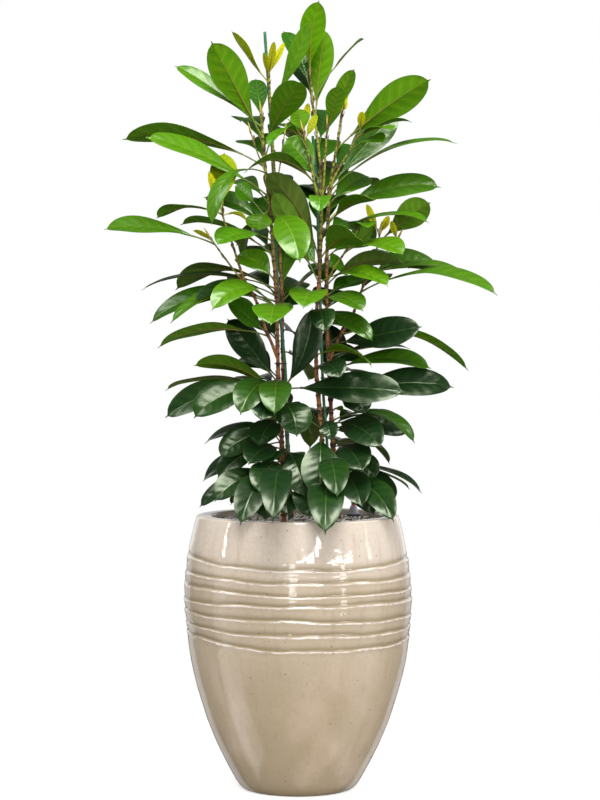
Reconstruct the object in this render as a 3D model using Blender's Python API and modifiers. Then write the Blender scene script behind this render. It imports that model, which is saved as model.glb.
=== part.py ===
"""A potted african fig: four leafy stems tied to two canes in a glazed, egg-shaped planter.

Metres, +Z up. The origin is on the floor under the middle of the pot, and -Y is the front.
Branches and leaves are drawn in a front elevation, the plane y = 0 as seen from EYE. Each point
also has a depth, and is moved along its line of sight to that depth.
"""

import math
from collections import namedtuple

import bmesh
import bpy
from mathutils import Vector, geometry
from mathutils.bvhtree import BVHTree

GAP = 0.0003
EYE = Vector((0.004, -4.4, 0.86))
SIDES = 32
SMALL_SIDES = 12

POT_HEIGHT = 0.52
POT_OUTLINE = [
    (0.0, 0.103), (0.012, 0.1165), (0.061, 0.1436), (0.107, 0.1646), (0.153, 0.181),
    (0.244, 0.2055), (0.335, 0.215), (0.381, 0.216), (0.442, 0.209), (0.52, 0.1935),
]
POT_WALL = 0.012
POT_FLOOR = 0.018
LIP_INNER = 0.1645
LIP_ROUND = 0.004
LIP_DEPTH = 0.035
INNER_ROWS = (0.42, 0.28, 0.12)
SHOULDER = 0.48
UNDER_RIDGES = 0.268
FOOT_ROWS = (0.244, 0.195, 0.15, 0.107, 0.061, 0.03, 0.012, 0.004)

# The seven pressed ridges: mean height, and how far each leans sideways, back to front, and in a
# double wave round the pot.
Ridge = namedtuple("Ridge", "height side front double")
RIDGES = [
    Ridge(0.437, -0.0035, 0.0035, 0.0045),
    Ridge(0.409, -0.0025, 0.0005, 0.0015),
    Ridge(0.386, -0.0055, 0.0005, 0.0025),
    Ridge(0.364, 0.0015, -0.0005, -0.0015),
    Ridge(0.337, -0.0055, 0.0005, -0.0015),
    Ridge(0.312, -0.0035, -0.0005, 0.0005),
    Ridge(0.289, -0.0060, 0.0000, 0.0060),
]
RIDGE_RISE = 0.003
RIDGE_NOTCH = 0.0010
RIDGE_STEP = 0.0055
RIDGE_FADE = 0.1
LEVEL_LIP = 0.5

SOIL_TOP = 0.503
SOIL_RINGS = (0.0, 0.045, 0.09, 0.13)
SOIL_RELIEF = 0.0018
BALL_TOP = 0.418
BALL_HEIGHT = 0.2
BALL_RADIUS = 0.115
STEM_FOOT = BALL_TOP + GAP
STEM_PIT = 0.004
HOLE_REACH = 0.06

GAUGE_AT = (0.108, 0.095)
GAUGE_FOOT = 0.16
GAUGE_SHAFT = 0.009
GAUGE_COLLAR = 0.0125
COLLAR_FOOT = 0.507
COLLAR_TOP = 0.516
GAUGE_CONE_TOP = 0.53
GAUGE_WELL = 0.514
GAUGE_TUBE = 0.0052
GAUGE_BORE = 0.0036
GAUGE_TUBE_TOP = 0.6
GAUGE_EDGE = 0.002
FLOAT_TOP = 0.542
FLOAT_RADIUS = 0.003

CANE_RADIUS = 0.003
CANES = {
    "cane_left": [(-0.008, 0.30, 0.0), (-0.016, 0.51, 0.004), (-0.023, 0.777, 0.006),
                  (-0.038, 0.95, 0.008), (-0.050, 1.233, 0.032), (-0.063, 1.437, 0.045)],
    "cane_right": [(0.058, 0.30, 0.0), (0.056, 0.51, 0.004), (0.055, 0.662, 0.006),
                   (0.047, 0.777, 0.004), (0.036, 1.127, 0.008), (0.028, 1.24, 0.018)],
}

# Height of each tie, and the canes and stems that it goes round.
TIE_WIRE = 0.0008
TIE_POINTS = 9
TIES = {
    "tie_left": (0.808, ("cane_left", "left_front", "left_back")),
    "tie_right": (0.7185, ("cane_right", "right_front", "right_back")),
    "tie_top": (1.183, ("cane_right", "right_front", "right_back")),
}

# Each branch: the node that it is part of, its radius at foot and tip, and its points in the
# front elevation as (across, up, depth). A node's first branch stands in the soil.
Branch = namedtuple("Branch", "node foot tip points")
BRANCHES = {
    "left_front": Branch("stem_left_front", 0.0052, 0.0022, [
        (-0.025, 0.423, -0.035), (-0.027, 0.51, -0.033), (-0.029, 0.605, -0.028),
        (-0.032, 0.69, -0.022), (-0.037, 0.767, -0.018), (-0.039, 0.845, -0.016),
        (-0.040, 0.92, -0.014), (-0.045, 0.995, -0.010), (-0.051, 1.08, -0.004),
        (-0.059, 1.148, 0.0), (-0.064, 1.205, 0.0), (-0.071, 1.289, 0.0)]),
    "left_bud": Branch("stem_left_front", 0.0018, 0.001, [
        (-0.061, 1.17, 0.0), (-0.076, 1.205, -0.006), (-0.084, 1.228, -0.008),
        (-0.090, 1.249, -0.010)]),
    "left_side": Branch("stem_left_front", 0.0034, 0.0015, [
        (-0.039, 0.819, -0.016), (-0.050, 0.847, -0.022), (-0.061, 0.870, -0.030),
        (-0.070, 0.904, -0.034), (-0.086, 0.942, -0.038), (-0.101, 0.965, -0.040),
        (-0.112, 0.995, -0.044), (-0.127, 1.043, -0.048), (-0.141, 1.081, -0.050),
        (-0.1475, 1.108, -0.050)]),
    "left_side_low": Branch("stem_left_front", 0.002, 0.0014, [
        (-0.095, 0.957, -0.039), (-0.116, 0.978, -0.034), (-0.129, 0.995, -0.030),
        (-0.1445, 1.016, -0.026), (-0.160, 1.037, -0.024), (-0.169, 1.051, -0.022)]),
    "left_back": Branch("stem_left_back", 0.005, 0.002, [
        (-0.011, 0.423, 0.045), (-0.013, 0.51, 0.043), (-0.017, 0.605, 0.038),
        (-0.022, 0.69, 0.032), (-0.0275, 0.767, 0.026), (-0.0295, 0.845, 0.022),
        (-0.0305, 0.92, 0.020), (-0.033, 0.995, 0.018), (-0.038, 1.08, 0.018),
        (-0.044, 1.157, 0.018), (-0.0485, 1.233, 0.016), (-0.056, 1.366, 0.010)]),
    "left_back_bud": Branch("stem_left_back", 0.0017, 0.001, [
        (-0.042, 1.138, 0.018), (-0.034, 1.185, 0.008), (-0.0295, 1.218, 0.004),
        (-0.025, 1.246, 0.002)]),
    "right_front": Branch("stem_right_front", 0.0054, 0.0019, [
        (0.063, 0.423, -0.035), (0.059, 0.51, -0.034), (0.054, 0.586, -0.030),
        (0.0465, 0.653, -0.026), (0.041, 0.72, -0.022), (0.035, 0.786, -0.020),
        (0.034, 0.853, -0.018), (0.036, 0.92, -0.016), (0.041, 0.976, -0.014),
        (0.043, 1.043, -0.012), (0.0445, 1.119, -0.010), (0.042, 1.186, -0.008),
        (0.036, 1.243, -0.004), (0.0275, 1.30, 0.0), (0.0235, 1.355, 0.0)]),
    "right_left_shoot": Branch("stem_right_front", 0.0026, 0.0015, [
        (0.0440, 1.104, -0.010), (0.0315, 1.148, -0.018), (0.023, 1.191, -0.022),
        (0.015, 1.224, -0.024), (0.0085, 1.252, -0.024)]),
    "right_mid_shoot": Branch("stem_right_front", 0.0024, 0.0015, [
        (0.0447, 1.113, -0.010), (0.0495, 1.157, -0.020), (0.0515, 1.20, -0.026),
        (0.054, 1.233, -0.028), (0.055, 1.264, -0.028)]),
    "right_back": Branch("stem_right_back", 0.0052, 0.0022, [
        (0.082, 0.423, 0.050), (0.078, 0.51, 0.046), (0.0725, 0.586, 0.040),
        (0.0655, 0.662, 0.034), (0.062, 0.738, 0.028), (0.058, 0.815, 0.024),
        (0.055, 0.89, 0.022), (0.054, 0.957, 0.020), (0.055, 1.024, 0.018),
        (0.057, 1.077, 0.018), (0.058, 1.129, 0.016), (0.0675, 1.186, 0.012),
        (0.076, 1.233, 0.010), (0.084, 1.287, 0.010)]),
    "right_far_shoot": Branch("stem_right_back", 0.0024, 0.0014, [
        (0.0577, 1.113, 0.017), (0.0665, 1.157, 0.006), (0.084, 1.189, -0.004),
        (0.099, 1.214, -0.010), (0.116, 1.245, -0.014), (0.121, 1.264, -0.014)]),
    "right_low_shoot": Branch("stem_right_back", 0.0022, 0.0014, [
        (0.0542, 0.961, 0.020), (0.0685, 0.990, 0.008), (0.0855, 1.014, -0.004),
        (0.101, 1.037, -0.010), (0.1085, 1.054, -0.012)]),
    "right_side": Branch("stem_right_back", 0.0032, 0.0015, [
        (0.058, 0.807, 0.024), (0.0705, 0.843, 0.020), (0.0855, 0.87, 0.016),
        (0.103, 0.896, 0.012), (0.118, 0.940, 0.006), (0.129, 0.969, 0.002),
        (0.1425, 1.001, 0.0), (0.152, 1.033, 0.0), (0.156, 1.06, 0.0)]),
    "right_side_end": Branch("stem_right_back", 0.0018, 0.0013, [
        (0.141, 0.9955, 0.0), (0.162, 1.014, -0.008), (0.181, 1.031, -0.012),
        (0.191, 1.049, -0.012)]),
}

# Each leaf: how high its petiole leaves the branch, its tip as (across, up) in the front elevation
# and depth, its width as it shows from the front, how far it arches over its straight line as a
# share of its length, and how far its upper side turns from the sky towards the front, in degrees.
# The last is the petiole's share of the whole length. Every blade is widened by LEAF_WIDEN for the
# fold along its midrib.
Leaf = namedtuple("Leaf", "at across up depth width arch face petiole", defaults=(0.17,))
LEAVES = {
    "left_front": [
        (1.235, -0.165, 1.420, -0.02, 0.058, 0, -85),
        (1.255, -0.235, 1.375, 0.06, 0.036, 0.03, 35),
        (1.265, -0.080, 1.350, 0.09, 0.034, 0, 60),
        (1.180, -0.335, 1.235, 0.02, 0.060, 0.10, -25),
        (1.125, -0.290, 1.240, -0.07, 0.060, 0.06, 32),
        (1.170, -0.165, 1.070, -0.12, 0.034, 0.26, 10),
        (1.050, -0.180, 1.125, 0.05, 0.048, 0.12, 30),
        (1.060, -0.120, 1.145, -0.04, 0.034, 0.08, 60, 0.55),
        (1.075, -0.100, 0.990, 0.07, 0.040, 0.40, 20),
        (1.010, -0.225, 1.075, 0.03, 0.056, 0.12, -12),
        (1.040, -0.155, 1.035, -0.12, 0.056, 0.12, 25),
        (1.185, -0.095, 1.230, 0.16, 0.060, 0.10, 50),
        (0.935, -0.200, 0.925, -0.08, 0.042, 0.18, 22),
        (0.915, -0.245, 0.885, -0.03, 0.055, 0.20, 20),
        (0.925, -0.285, 0.885, 0.03, 0.050, 0.14, 40),
        (0.950, -0.300, 0.950, 0.07, 0.048, 0.10, 6),
        (0.940, -0.235, 0.950, 0.11, 0.058, 0.18, -15),
        (0.915, -0.215, 0.910, 0.14, 0.055, 0.15, 10),
        (0.910, -0.165, 0.910, -0.13, 0.052, 0.25, 35),
        (0.770, -0.135, 0.895, 0.03, 0.052, 0, 75),
        (0.745, -0.200, 0.805, 0.00, 0.046, 0.14, -35),
        (0.780, -0.125, 0.810, 0.12, 0.065, 0.10, 45),
        (0.760, -0.255, 0.760, 0.06, 0.050, 0.08, -3),
        (0.750, -0.255, 0.705, 0.01, 0.060, 0.12, 45),
        (0.755, -0.200, 0.705, -0.07, 0.063, 0.14, 50),
        (0.765, -0.110, 0.710, -0.14, 0.056, 0.20, 40),
        (0.740, -0.135, 0.725, 0.13, 0.062, 0.08, 10),
        (0.690, -0.150, 0.630, -0.06, 0.052, 0.08, 50),
        (0.660, -0.155, 0.590, -0.04, 0.050, 0.10, 45),
        (0.645, -0.095, 0.615, -0.12, 0.052, 0.15, 40),
        (0.670, -0.180, 0.655, 0.08, 0.050, 0.12, 30),
        (0.640, -0.185, 0.585, 0.06, 0.050, 0.10, 40),
        (0.600, -0.145, 0.580, 0.04, 0.046, 0.30, -10),
        (0.590, -0.190, 0.535, 0.00, 0.048, 0.12, 35),
        (0.595, -0.110, 0.500, -0.19, 0.052, 0.18, 60),
        (0.575, -0.130, 0.540, 0.09, 0.034, 0.10, -10),
        (1.218, 0.008, 1.345, -0.13, 0.052, 0.05, -60),
        (1.090, 0.004, 1.000, -0.15, 0.058, 0.15, 60),
        (0.913, -0.052, 0.883, -0.17, 0.068, 0.12, 18),
        (0.770, -0.045, 0.710, -0.13, 0.054, 0.20, 30),
        (0.760, 0.204, 0.755, -0.08, 0.062, 0.02, 55),
        (0.752, 0.027, 0.915, -0.05, 0.047, -0.10, 80),
        (0.650, 0.012, 0.554, -0.10, 0.056, 0.15, 70),
        (0.632, -0.057, 0.618, -0.10, 0.050, 0.20, -10),
        (0.586, -0.063, 0.508, -0.18, 0.066, 0.20, 50),
        (0.567, -0.050, 0.567, -0.07, 0.034, 0.40, 30),
        (0.560, -0.048, 0.486, -0.21, 0.052, 0.18, 40),
        (0.735, -0.002, 0.668, -0.09, 0.062, 0.22, 40),
    ],
    "left_side": [
        (0.865, -0.135, 0.925, -0.05, 0.056, 0.03, 45),
        (0.860, -0.270, 0.840, -0.07, 0.056, 0.11, -20),
        (1.090, -0.140, 1.210, -0.03, 0.046, 0.02, -75),
        (1.088, -0.170, 1.175, -0.06, 0.024, 0, -70),
        (1.086, -0.098, 1.080, -0.04, 0.026, 0.20, -20),
        (1.088, -0.270, 1.085, 0.02, 0.045, 0.12, -5),
    ],
    "left_side_low": [
        (1.034, -0.370, 1.065, -0.03, 0.056, 0.07, 30),
        (1.038, -0.200, 1.062, -0.05, 0.022, 0.05, -30),
    ],
    "left_back": [
        (1.340, -0.125, 1.440, -0.01, 0.030, -0.02, -5),
        (1.355, -0.045, 1.420, -0.01, 0.022, 0, -80, 0.1),
        (1.358, -0.025, 1.418, 0.02, 0.020, 0, -80, 0.1),
        (1.352, -0.065, 1.400, 0.01, 0.016, 0, -80, 0.1),
        (1.295, 0.025, 1.460, -0.04, 0.032, -0.02, 55),
        (0.935, -0.020, 1.077, 0.03, 0.050, 0, 60),
        (0.925, 0.075, 1.010, 0.07, 0.045, 0.05, -10),
        (0.905, 0.010, 0.948, 0.13, 0.060, 0.05, 60),
    ],
    "right_front": [
        (1.343, 0.040, 1.497, 0.00, 0.043, 0.05, -85),
        (1.268, 0.048, 1.446, 0.05, 0.045, 0, -85),
        (1.300, 0.125, 1.425, 0.08, 0.028, 0.06, -20, 0.45),
        (1.317, -0.028, 1.438, 0.10, 0.035, 0.05, 20),
        (1.310, 0.002, 1.390, 0.13, 0.045, 0, 60),
        (1.150, -0.023, 1.237, 0.05, 0.055, 0.02, 55),
        (0.961, -0.048, 1.151, -0.08, 0.040, -0.05, -65),
        (1.000, -0.063, 1.172, -0.03, 0.050, 0.08, -60),
        (1.127, -0.105, 1.170, -0.09, 0.054, 0.26, -15),
        (1.005, 0.116, 1.048, -0.13, 0.064, 0.12, -60),
        (1.092, 0.040, 1.094, -0.09, 0.036, 0.40, 30),
        (0.960, 0.173, 0.956, -0.11, 0.054, 0.15, 25),
        (0.930, 0.010, 0.915, -0.16, 0.062, 0.15, 40),
        (0.923, 0.124, 0.908, -0.12, 0.050, 0.15, 30),
        (0.906, 0.143, 0.852, -0.10, 0.036, 0.10, 50, 0.1),
        (0.824, 0.143, 0.802, -0.11, 0.040, 0.14, -30, 0.1),
        (0.685, -0.013, 0.725, -0.08, 0.030, 0, 60, 0.4),
        (0.700, 0.063, 0.662, -0.08, 0.032, 0.20, 60, 0.3),
        (0.678, 0.042, 0.552, -0.12, 0.064, 0.12, 75),
        (0.590, 0.022, 0.512, -0.15, 0.066, 0.20, 55),
        (0.560, 0.052, 0.476, -0.23, 0.060, 0.20, 55),
    ],
    "right_left_shoot": [
        (1.214, -0.057, 1.218, -0.10, 0.042, 0.35, -10),
        (1.237, 0.000, 1.292, 0.00, 0.034, 0, -70),
        (1.243, 0.020, 1.304, 0.03, 0.024, 0, -70),
        (1.233, -0.020, 1.273, 0.04, 0.022, 0, -40),
        (1.230, 0.036, 1.282, -0.04, 0.026, 0, 60),
        (1.218, -0.028, 1.262, 0.06, 0.048, 0.10, 30),
    ],
    "right_mid_shoot": [
        (1.252, 0.107, 1.368, -0.05, 0.028, 0.02, -50),
        (1.237, 0.078, 1.336, -0.08, 0.032, 0, -60),
    ],
    "right_back": [
        (1.214, 0.253, 1.348, -0.02, 0.058, 0.04, -75),
        (1.279, 0.092, 1.336, 0.01, 0.022, 0, -80, 0.2),
        (1.275, 0.081, 1.332, -0.01, 0.018, 0, -80, 0.2),
        (1.283, 0.091, 1.309, -0.02, 0.022, 0, -60, 0.2),
        (1.142, 0.190, 1.286, 0.06, 0.056, 0.02, 70),
        (1.134, 0.304, 1.230, -0.03, 0.048, 0.13, 15),
        (1.077, 0.272, 1.144, 0.00, 0.058, 0.12, 45),
        (1.073, 0.145, 1.121, -0.10, 0.050, 0.10, -10),
        (1.081, 0.093, 1.115, 0.03, 0.018, 0, -70, 0.5),
        (1.043, 0.251, 1.079, -0.07, 0.050, 0.13, 15),
        (0.957, 0.213, 0.990, -0.03, 0.060, 0.16, -25),
        (0.936, 0.129, 0.969, 0.07, 0.055, 0.08, 20),
        (0.843, 0.236, 0.879, -0.02, 0.057, 0, 65),
        (0.790, 0.255, 0.800, 0.03, 0.056, 0.12, 25),
        (0.887, 0.063, 0.788, 0.08, 0.050, 0.40, 60),
        (0.921, 0.105, 0.917, 0.15, 0.050, 0.10, 30),
        (0.693, 0.158, 0.649, -0.10, 0.058, 0.10, 65),
        (0.647, 0.124, 0.603, -0.11, 0.058, 0.12, 60),
        (0.681, 0.213, 0.678, 0.05, 0.058, 0.10, 50),
        (0.697, 0.225, 0.657, -0.02, 0.046, 0.22, 10),
        (0.712, 0.084, 0.731, 0.03, 0.026, 0.10, -40, 0.3),
        (0.655, 0.177, 0.617, 0.05, 0.040, 0.20, -10),
        (0.609, 0.238, 0.562, 0.02, 0.046, 0.12, 5),
        (0.598, 0.215, 0.569, 0.08, 0.044, 0.12, 0),
        (0.579, 0.187, 0.546, 0.00, 0.050, 0.20, 40),
        (0.590, 0.122, 0.535, -0.12, 0.054, 0.15, 60),
        (0.564, 0.183, 0.507, -0.15, 0.050, 0.18, 55),
        (0.552, 0.105, 0.505, -0.21, 0.052, 0.18, 45),
        (0.745, 0.298, 0.765, 0.03, 0.056, 0.06, 55),
        (0.820, 0.215, 0.838, 0.08, 0.050, 0.06, 5),
    ],
    "right_far_shoot": [
        (1.233, 0.217, 1.268, 0.04, 0.040, 0.10, -3),
        (1.231, 0.179, 1.252, -0.10, 0.045, 0.10, 5),
        (1.210, 0.164, 1.230, -0.07, 0.042, 0.12, 35),
        (1.250, 0.122, 1.287, -0.02, 0.024, 0, -50, 0.1),
    ],
    "right_low_shoot": [
        (1.047, 0.135, 1.066, -0.09, 0.036, 0.20, 15),
        (1.024, 0.147, 1.070, 0.04, 0.050, 0, -50),
        (1.018, 0.202, 1.016, -0.11, 0.052, 0.14, 25),
    ],
    "right_side": [
        (0.965, 0.274, 0.988, 0.07, 0.062, 0.16, 40),
        (0.973, 0.339, 0.963, 0.01, 0.055, 0.14, 15),
        (0.944, 0.383, 0.942, -0.05, 0.056, 0.14, 15),
        (0.864, 0.328, 0.796, 0.02, 0.040, 0.14, -15),
        (1.037, 0.252, 1.115, -0.04, 0.050, 0.03, -70),
        (1.051, 0.130, 1.112, 0.00, 0.022, 0, -80, 0.2),
        (1.052, 0.173, 1.089, 0.01, 0.022, 0, -80, 0.2),
    ],
    "right_side_end": [
        (1.043, 0.177, 1.080, -0.03, 0.020, 0, -60, 0.1),
    ],
}
# Leaves on the far side, which the front view hides.
BACK_LEAVES = {
    "left_front": [
        (1.214, -0.110, 1.270, 0.22, 0.056, 0.10, 20),
        (1.110, -0.145, 1.145, 0.20, 0.056, 0.10, 20),
        (1.000, -0.118, 1.037, 0.22, 0.056, 0.14, 20),
        (0.932, -0.126, 0.960, 0.22, 0.058, 0.12, 20),
        (0.754, -0.114, 0.742, 0.23, 0.060, 0.14, 20),
        (0.653, -0.092, 0.640, 0.22, 0.056, 0.14, 20),
        (0.585, -0.110, 0.567, 0.22, 0.050, 0.12, 20),
        (0.850, -0.120, 0.862, 0.17, 0.056, 0.12, 20),
    ],
    "left_back": [
        (1.052, -0.078, 1.125, 0.18, 0.054, 0.08, 20),
        (0.743, -0.050, 0.690, 0.24, 0.060, 0.14, 20),
        (0.606, -0.015, 0.606, 0.25, 0.056, 0.14, 20),
        (1.271, -0.015, 1.310, 0.22, 0.054, 0.06, 20),
        (0.715, 0.030, 0.668, 0.12, 0.058, 0.14, 30),
        (0.630, 0.020, 0.575, 0.13, 0.060, 0.14, 35),
        (0.830, 0.022, 0.775, 0.12, 0.058, 0.14, 35),
        (0.560, 0.012, 0.530, 0.12, 0.054, 0.12, 30),
    ],
    "right_front": [
        (1.214, 0.060, 1.290, 0.20, 0.052, 0.06, 20),
        (1.119, 0.004, 1.119, 0.23, 0.056, 0.10, 20),
        (1.024, 0.060, 1.052, 0.23, 0.058, 0.10, 20),
        (0.748, 0.092, 0.731, 0.19, 0.056, 0.14, 20),
        (0.662, 0.022, 0.643, 0.24, 0.058, 0.14, 20),
    ],
    "right_back": [
        (1.119, 0.146, 1.148, 0.23, 0.056, 0.10, 20),
        (1.043, 0.140, 1.033, 0.24, 0.058, 0.12, 20),
        (0.872, 0.118, 0.862, 0.25, 0.060, 0.12, 20),
        (0.843, 0.165, 0.837, 0.20, 0.058, 0.12, 20),
        (0.777, 0.137, 0.767, 0.25, 0.060, 0.14, 20),
        (0.681, 0.146, 0.681, 0.23, 0.058, 0.14, 20),
        (0.643, 0.103, 0.628, 0.24, 0.056, 0.14, 20),
        (0.586, 0.140, 0.567, 0.22, 0.052, 0.14, 20),
    ],
    "right_side": [
        (0.986, 0.194, 1.001, 0.20, 0.054, 0.12, 20),
        (0.929, 0.165, 0.965, 0.23, 0.054, 0.12, 20),
    ],
}
LEAF_STATIONS = (0.0, 0.34, 0.66, 0.88)
YOUNG_STATIONS = (0.0, 0.42, 0.84)
YOUNG_WIDTH = 0.047
FAR_DEPTH = 0.12
LEAF_THICKNESS = 0.0008
LEAF_WIDEN = 1.15
LEAF_FOLD = math.radians(13)
PETIOLE_RADIUS = 0.0015
TEST_THICKNESS = 0.0036
BUD_LENGTH = 0.022
BUD_RADIUS = 0.0019

COLOURS = {
    "glaze": (0.52, 0.46, 0.37, 0.22), "grit": (0.33, 0.31, 0.28, 0.9),
    "root": (0.16, 0.11, 0.07, 0.95), "leaf": (0.03, 0.12, 0.015, 0.35),
    "cane": (0.03, 0.16, 0.06, 0.5), "wire": (0.02, 0.02, 0.02, 0.5),
    "gauge": (0.42, 0.40, 0.47, 0.45), "float": (0.6, 0.02, 0.02, 0.4),
    "clear": (0.75, 0.78, 0.8, 0.08),
}


def clear_scene():
    for old in list(bpy.data.objects):
        bpy.data.objects.remove(old)


def material(name):
    red, green, blue, rough = COLOURS[name]
    made = bpy.data.materials.new(name)
    made.use_nodes = True
    shader = made.node_tree.nodes["Principled BSDF"]
    shader.inputs["Base Color"].default_value = (red, green, blue, 1)
    shader.inputs["Roughness"].default_value = rough
    shader.inputs["Metallic"].default_value = 0
    return made


def add_object(name, mesh, colour, smooth=True):
    made = bpy.data.objects.new(name, mesh)
    if colour:
        made.data.materials.clear()
        made.data.materials.append(colour)
    if smooth:
        mesh.shade_smooth()
        mesh.set_sharp_from_angle(angle=math.radians(35))
    bpy.context.scene.collection.objects.link(made)
    return made


def evaluated_mesh(source, merge=True):
    """The object's mesh with its modifiers applied, as a new mesh, with any doubles merged."""
    bpy.context.view_layer.update()
    graph = bpy.context.evaluated_depsgraph_get()
    mesh = bpy.data.meshes.new_from_object(source.evaluated_get(graph))
    build = bmesh.new()
    build.from_mesh(mesh)
    if merge:
        bmesh.ops.remove_doubles(build, verts=build.verts, dist=1e-5)
        bmesh.ops.recalc_face_normals(build, faces=build.faces)
    build.to_mesh(mesh)
    build.free()
    mesh.name = source.name
    return mesh


def drawn(across, up, depth):
    """The point at this depth that the front elevation shows at (across, up)."""
    nearer = (depth - EYE.y) / -EYE.y
    return Vector((EYE.x + (across - EYE.x) * nearer, depth, EYE.z + (up - EYE.z) * nearer))


def smooth_line(points, cuts):
    """Points on a Catmull-Rom curve through the given ones, with this many steps between each."""
    points = [Vector(p) for p in points]
    line = [points[0]]
    for i in range(len(points) - 1):
        before = points[i - 1] if i else points[0] * 2 - points[1]
        here = points[i]
        there = points[i + 1]
        after = points[i + 2] if i + 2 < len(points) else points[-1] * 2 - points[-2]
        for cut in range(1, cuts + 1):
            t = cut / cuts
            line.append(0.5 * (2 * here + (there - before) * t
                               + (2 * before - 5 * here + 4 * there - after) * t ** 2
                               + (3 * here - before - 3 * there + after) * t ** 3))
    return line


def at_height(line, height):
    """The point of a rising line at this height."""
    for low, high in zip(line, line[1:]):
        if low.z <= height <= high.z:
            return low.lerp(high, (height - low.z) / (high.z - low.z))
    return line[-1].copy() if height > line[-1].z else line[0].copy()


def turned(name, profile, colour, sides=SIDES):
    """A profile of (radius, height), from inside top to the axis, screwed round the Z axis."""
    mesh = bpy.data.meshes.new(name)
    build = bmesh.new()
    corners = [build.verts.new((radius, 0, height)) for radius, height in profile]
    for first, second in zip(corners, corners[1:]):
        build.edges.new((first, second))
    build.to_mesh(mesh)
    build.free()
    guide = add_object(name + "_profile", mesh, None, smooth=False)
    screw = guide.modifiers.new("turn", "SCREW")
    screw.steps = sides
    screw.render_steps = sides
    screw.use_merge_vertices = True
    screw.merge_threshold = 0.0001
    whole = evaluated_mesh(guide)
    bpy.data.objects.remove(guide)
    return add_object(name, whole, colour)


def tube(name, points, radii, colour, sides=6):
    """A round rod along the points, one radius for each, as a mesh with capped ends."""
    curve = bpy.data.curves.new(name, "CURVE")
    curve.dimensions = "3D"
    curve.bevel_depth = 1
    curve.bevel_resolution = sides // 2 - 2
    curve.use_fill_caps = True
    spline = curve.splines.new("POLY")
    spline.points.add(len(points) - 1)
    for slot, point, radius in zip(spline.points, points, radii):
        slot.co = (*point, 1)
        slot.radius = radius
    guide = bpy.data.objects.new(name + "_guide", curve)
    bpy.context.scene.collection.objects.link(guide)
    mesh = evaluated_mesh(guide)
    bpy.data.objects.remove(guide)
    return add_object(name, mesh, colour)


def pot_radius(height):
    """The pot's outer radius at this height, read from the smooth outline."""
    line = smooth_line([(radius, 0, up) for up, radius in POT_OUTLINE], 4)
    return at_height(line, height).x


def inner_wall():
    """(radius, height) down the inside of the pot, from under the lip to the floor."""
    rows = [(LIP_INNER, POT_HEIGHT - LIP_DEPTH)]
    rows += [(pot_radius(up) - POT_WALL, up) for up in INNER_ROWS]
    rows.append((pot_radius(POT_FLOOR) - POT_WALL, POT_FLOOR))
    return rows


def ridge_lean(height, angle):
    """How far the ridges near this height shift up or down at this angle round the pot."""
    def lean(ridge):
        return (ridge.side * math.cos(angle) + ridge.front * math.sin(angle)
                + ridge.double * math.cos(2 * angle))
    if height >= RIDGES[0].height + RIDGE_STEP:
        fade = (LEVEL_LIP - height) / (LEVEL_LIP - RIDGES[0].height - RIDGE_STEP)
        return lean(RIDGES[0]) * max(fade, 0)
    for upper, lower in zip(RIDGES, RIDGES[1:]):
        if height > lower.height + RIDGE_STEP:
            share = (upper.height + RIDGE_STEP - height) / (upper.height - lower.height)
            return lean(upper) * (1 - share) + lean(lower) * share
    below = RIDGES[-1].height + RIDGE_STEP - height
    return lean(RIDGES[-1]) * max(1 - below / RIDGE_FADE, 0)


def make_planter():
    """The pot: a thick wall under a broad lip, with the seven ridges in its outer rows."""
    outer = [(LIP_ROUND, 0.0), (LIP_ROUND * 0.3, LIP_ROUND * 0.7), (0.0, LIP_ROUND * 2)]
    lip = [(pot_radius(POT_HEIGHT) - inset, POT_HEIGHT - drop) for inset, drop in outer]
    rows = []
    for ridge in RIDGES:
        notch = ridge.height + RIDGE_STEP
        rows.append((pot_radius(notch) - RIDGE_NOTCH, notch))
        rows.append((pot_radius(ridge.height) + RIDGE_RISE, ridge.height))
    foot = [(pot_radius(up), up) for up in (UNDER_RIDGES, *FOOT_ROWS)]
    profile = list(reversed(inner_wall()))
    profile.insert(0, (0.0, POT_FLOOR))
    profile += [(LIP_INNER, POT_HEIGHT - LIP_ROUND * 2), (LIP_INNER + LIP_ROUND, POT_HEIGHT)]
    profile += lip + [(pot_radius(SHOULDER), SHOULDER)] + rows
    profile += foot + [(POT_OUTLINE[0][1], 0.0), (0.0, 0.0)]
    planter = turned("planter", profile, material("glaze"))
    for vertex in planter.data.vertices:
        radius = math.hypot(vertex.co.x, vertex.co.y)
        if radius > pot_radius(vertex.co.z) - RIDGE_NOTCH - GAP:
            vertex.co.z += ridge_lean(vertex.co.z, math.atan2(vertex.co.y, vertex.co.x))


def ball_profile():
    """The old root ball's profile, a blunt lump whose flat crown carries the stems' feet."""
    steps = ((0.6, 1.0), (0.9, 0.9), (1.0, 0.62), (0.93, 0.3), (0.7, 0.06), (0.5, 0.0))
    foot = BALL_TOP - BALL_HEIGHT
    profile = [(0.0, BALL_TOP)]
    profile += [(BALL_RADIUS * share, foot + BALL_HEIGHT * up) for share, up in steps]
    profile.append((0.0, foot))
    return profile


def cut(target, cutters):
    """Takes the cutters out of the target, and removes them."""
    for cutter in cutters:
        cutter.hide_render = True
        cutter.display_type = "WIRE"
        hole = target.modifiers.new("hole", "BOOLEAN")
        hole.operation = "DIFFERENCE"
        hole.object = cutter
    target.data = evaluated_mesh(target, merge=False)
    target.modifiers.clear()
    for cutter in cutters:
        bpy.data.objects.remove(cutter)


def widened(line, radius, sides=6):
    """A cutter: the buried part of a rod, wider by the gap and carried on past the grit."""
    low = [point for point in line if point.z < SOIL_TOP] + [at_height(line, SOIL_TOP)]
    rise = (low[-1] - low[-2]).normalized()
    low.append(low[-1] + rise * HOLE_REACH)
    return tube("hole", low, [radius + GAP] * len(low), None, sides)


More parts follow.
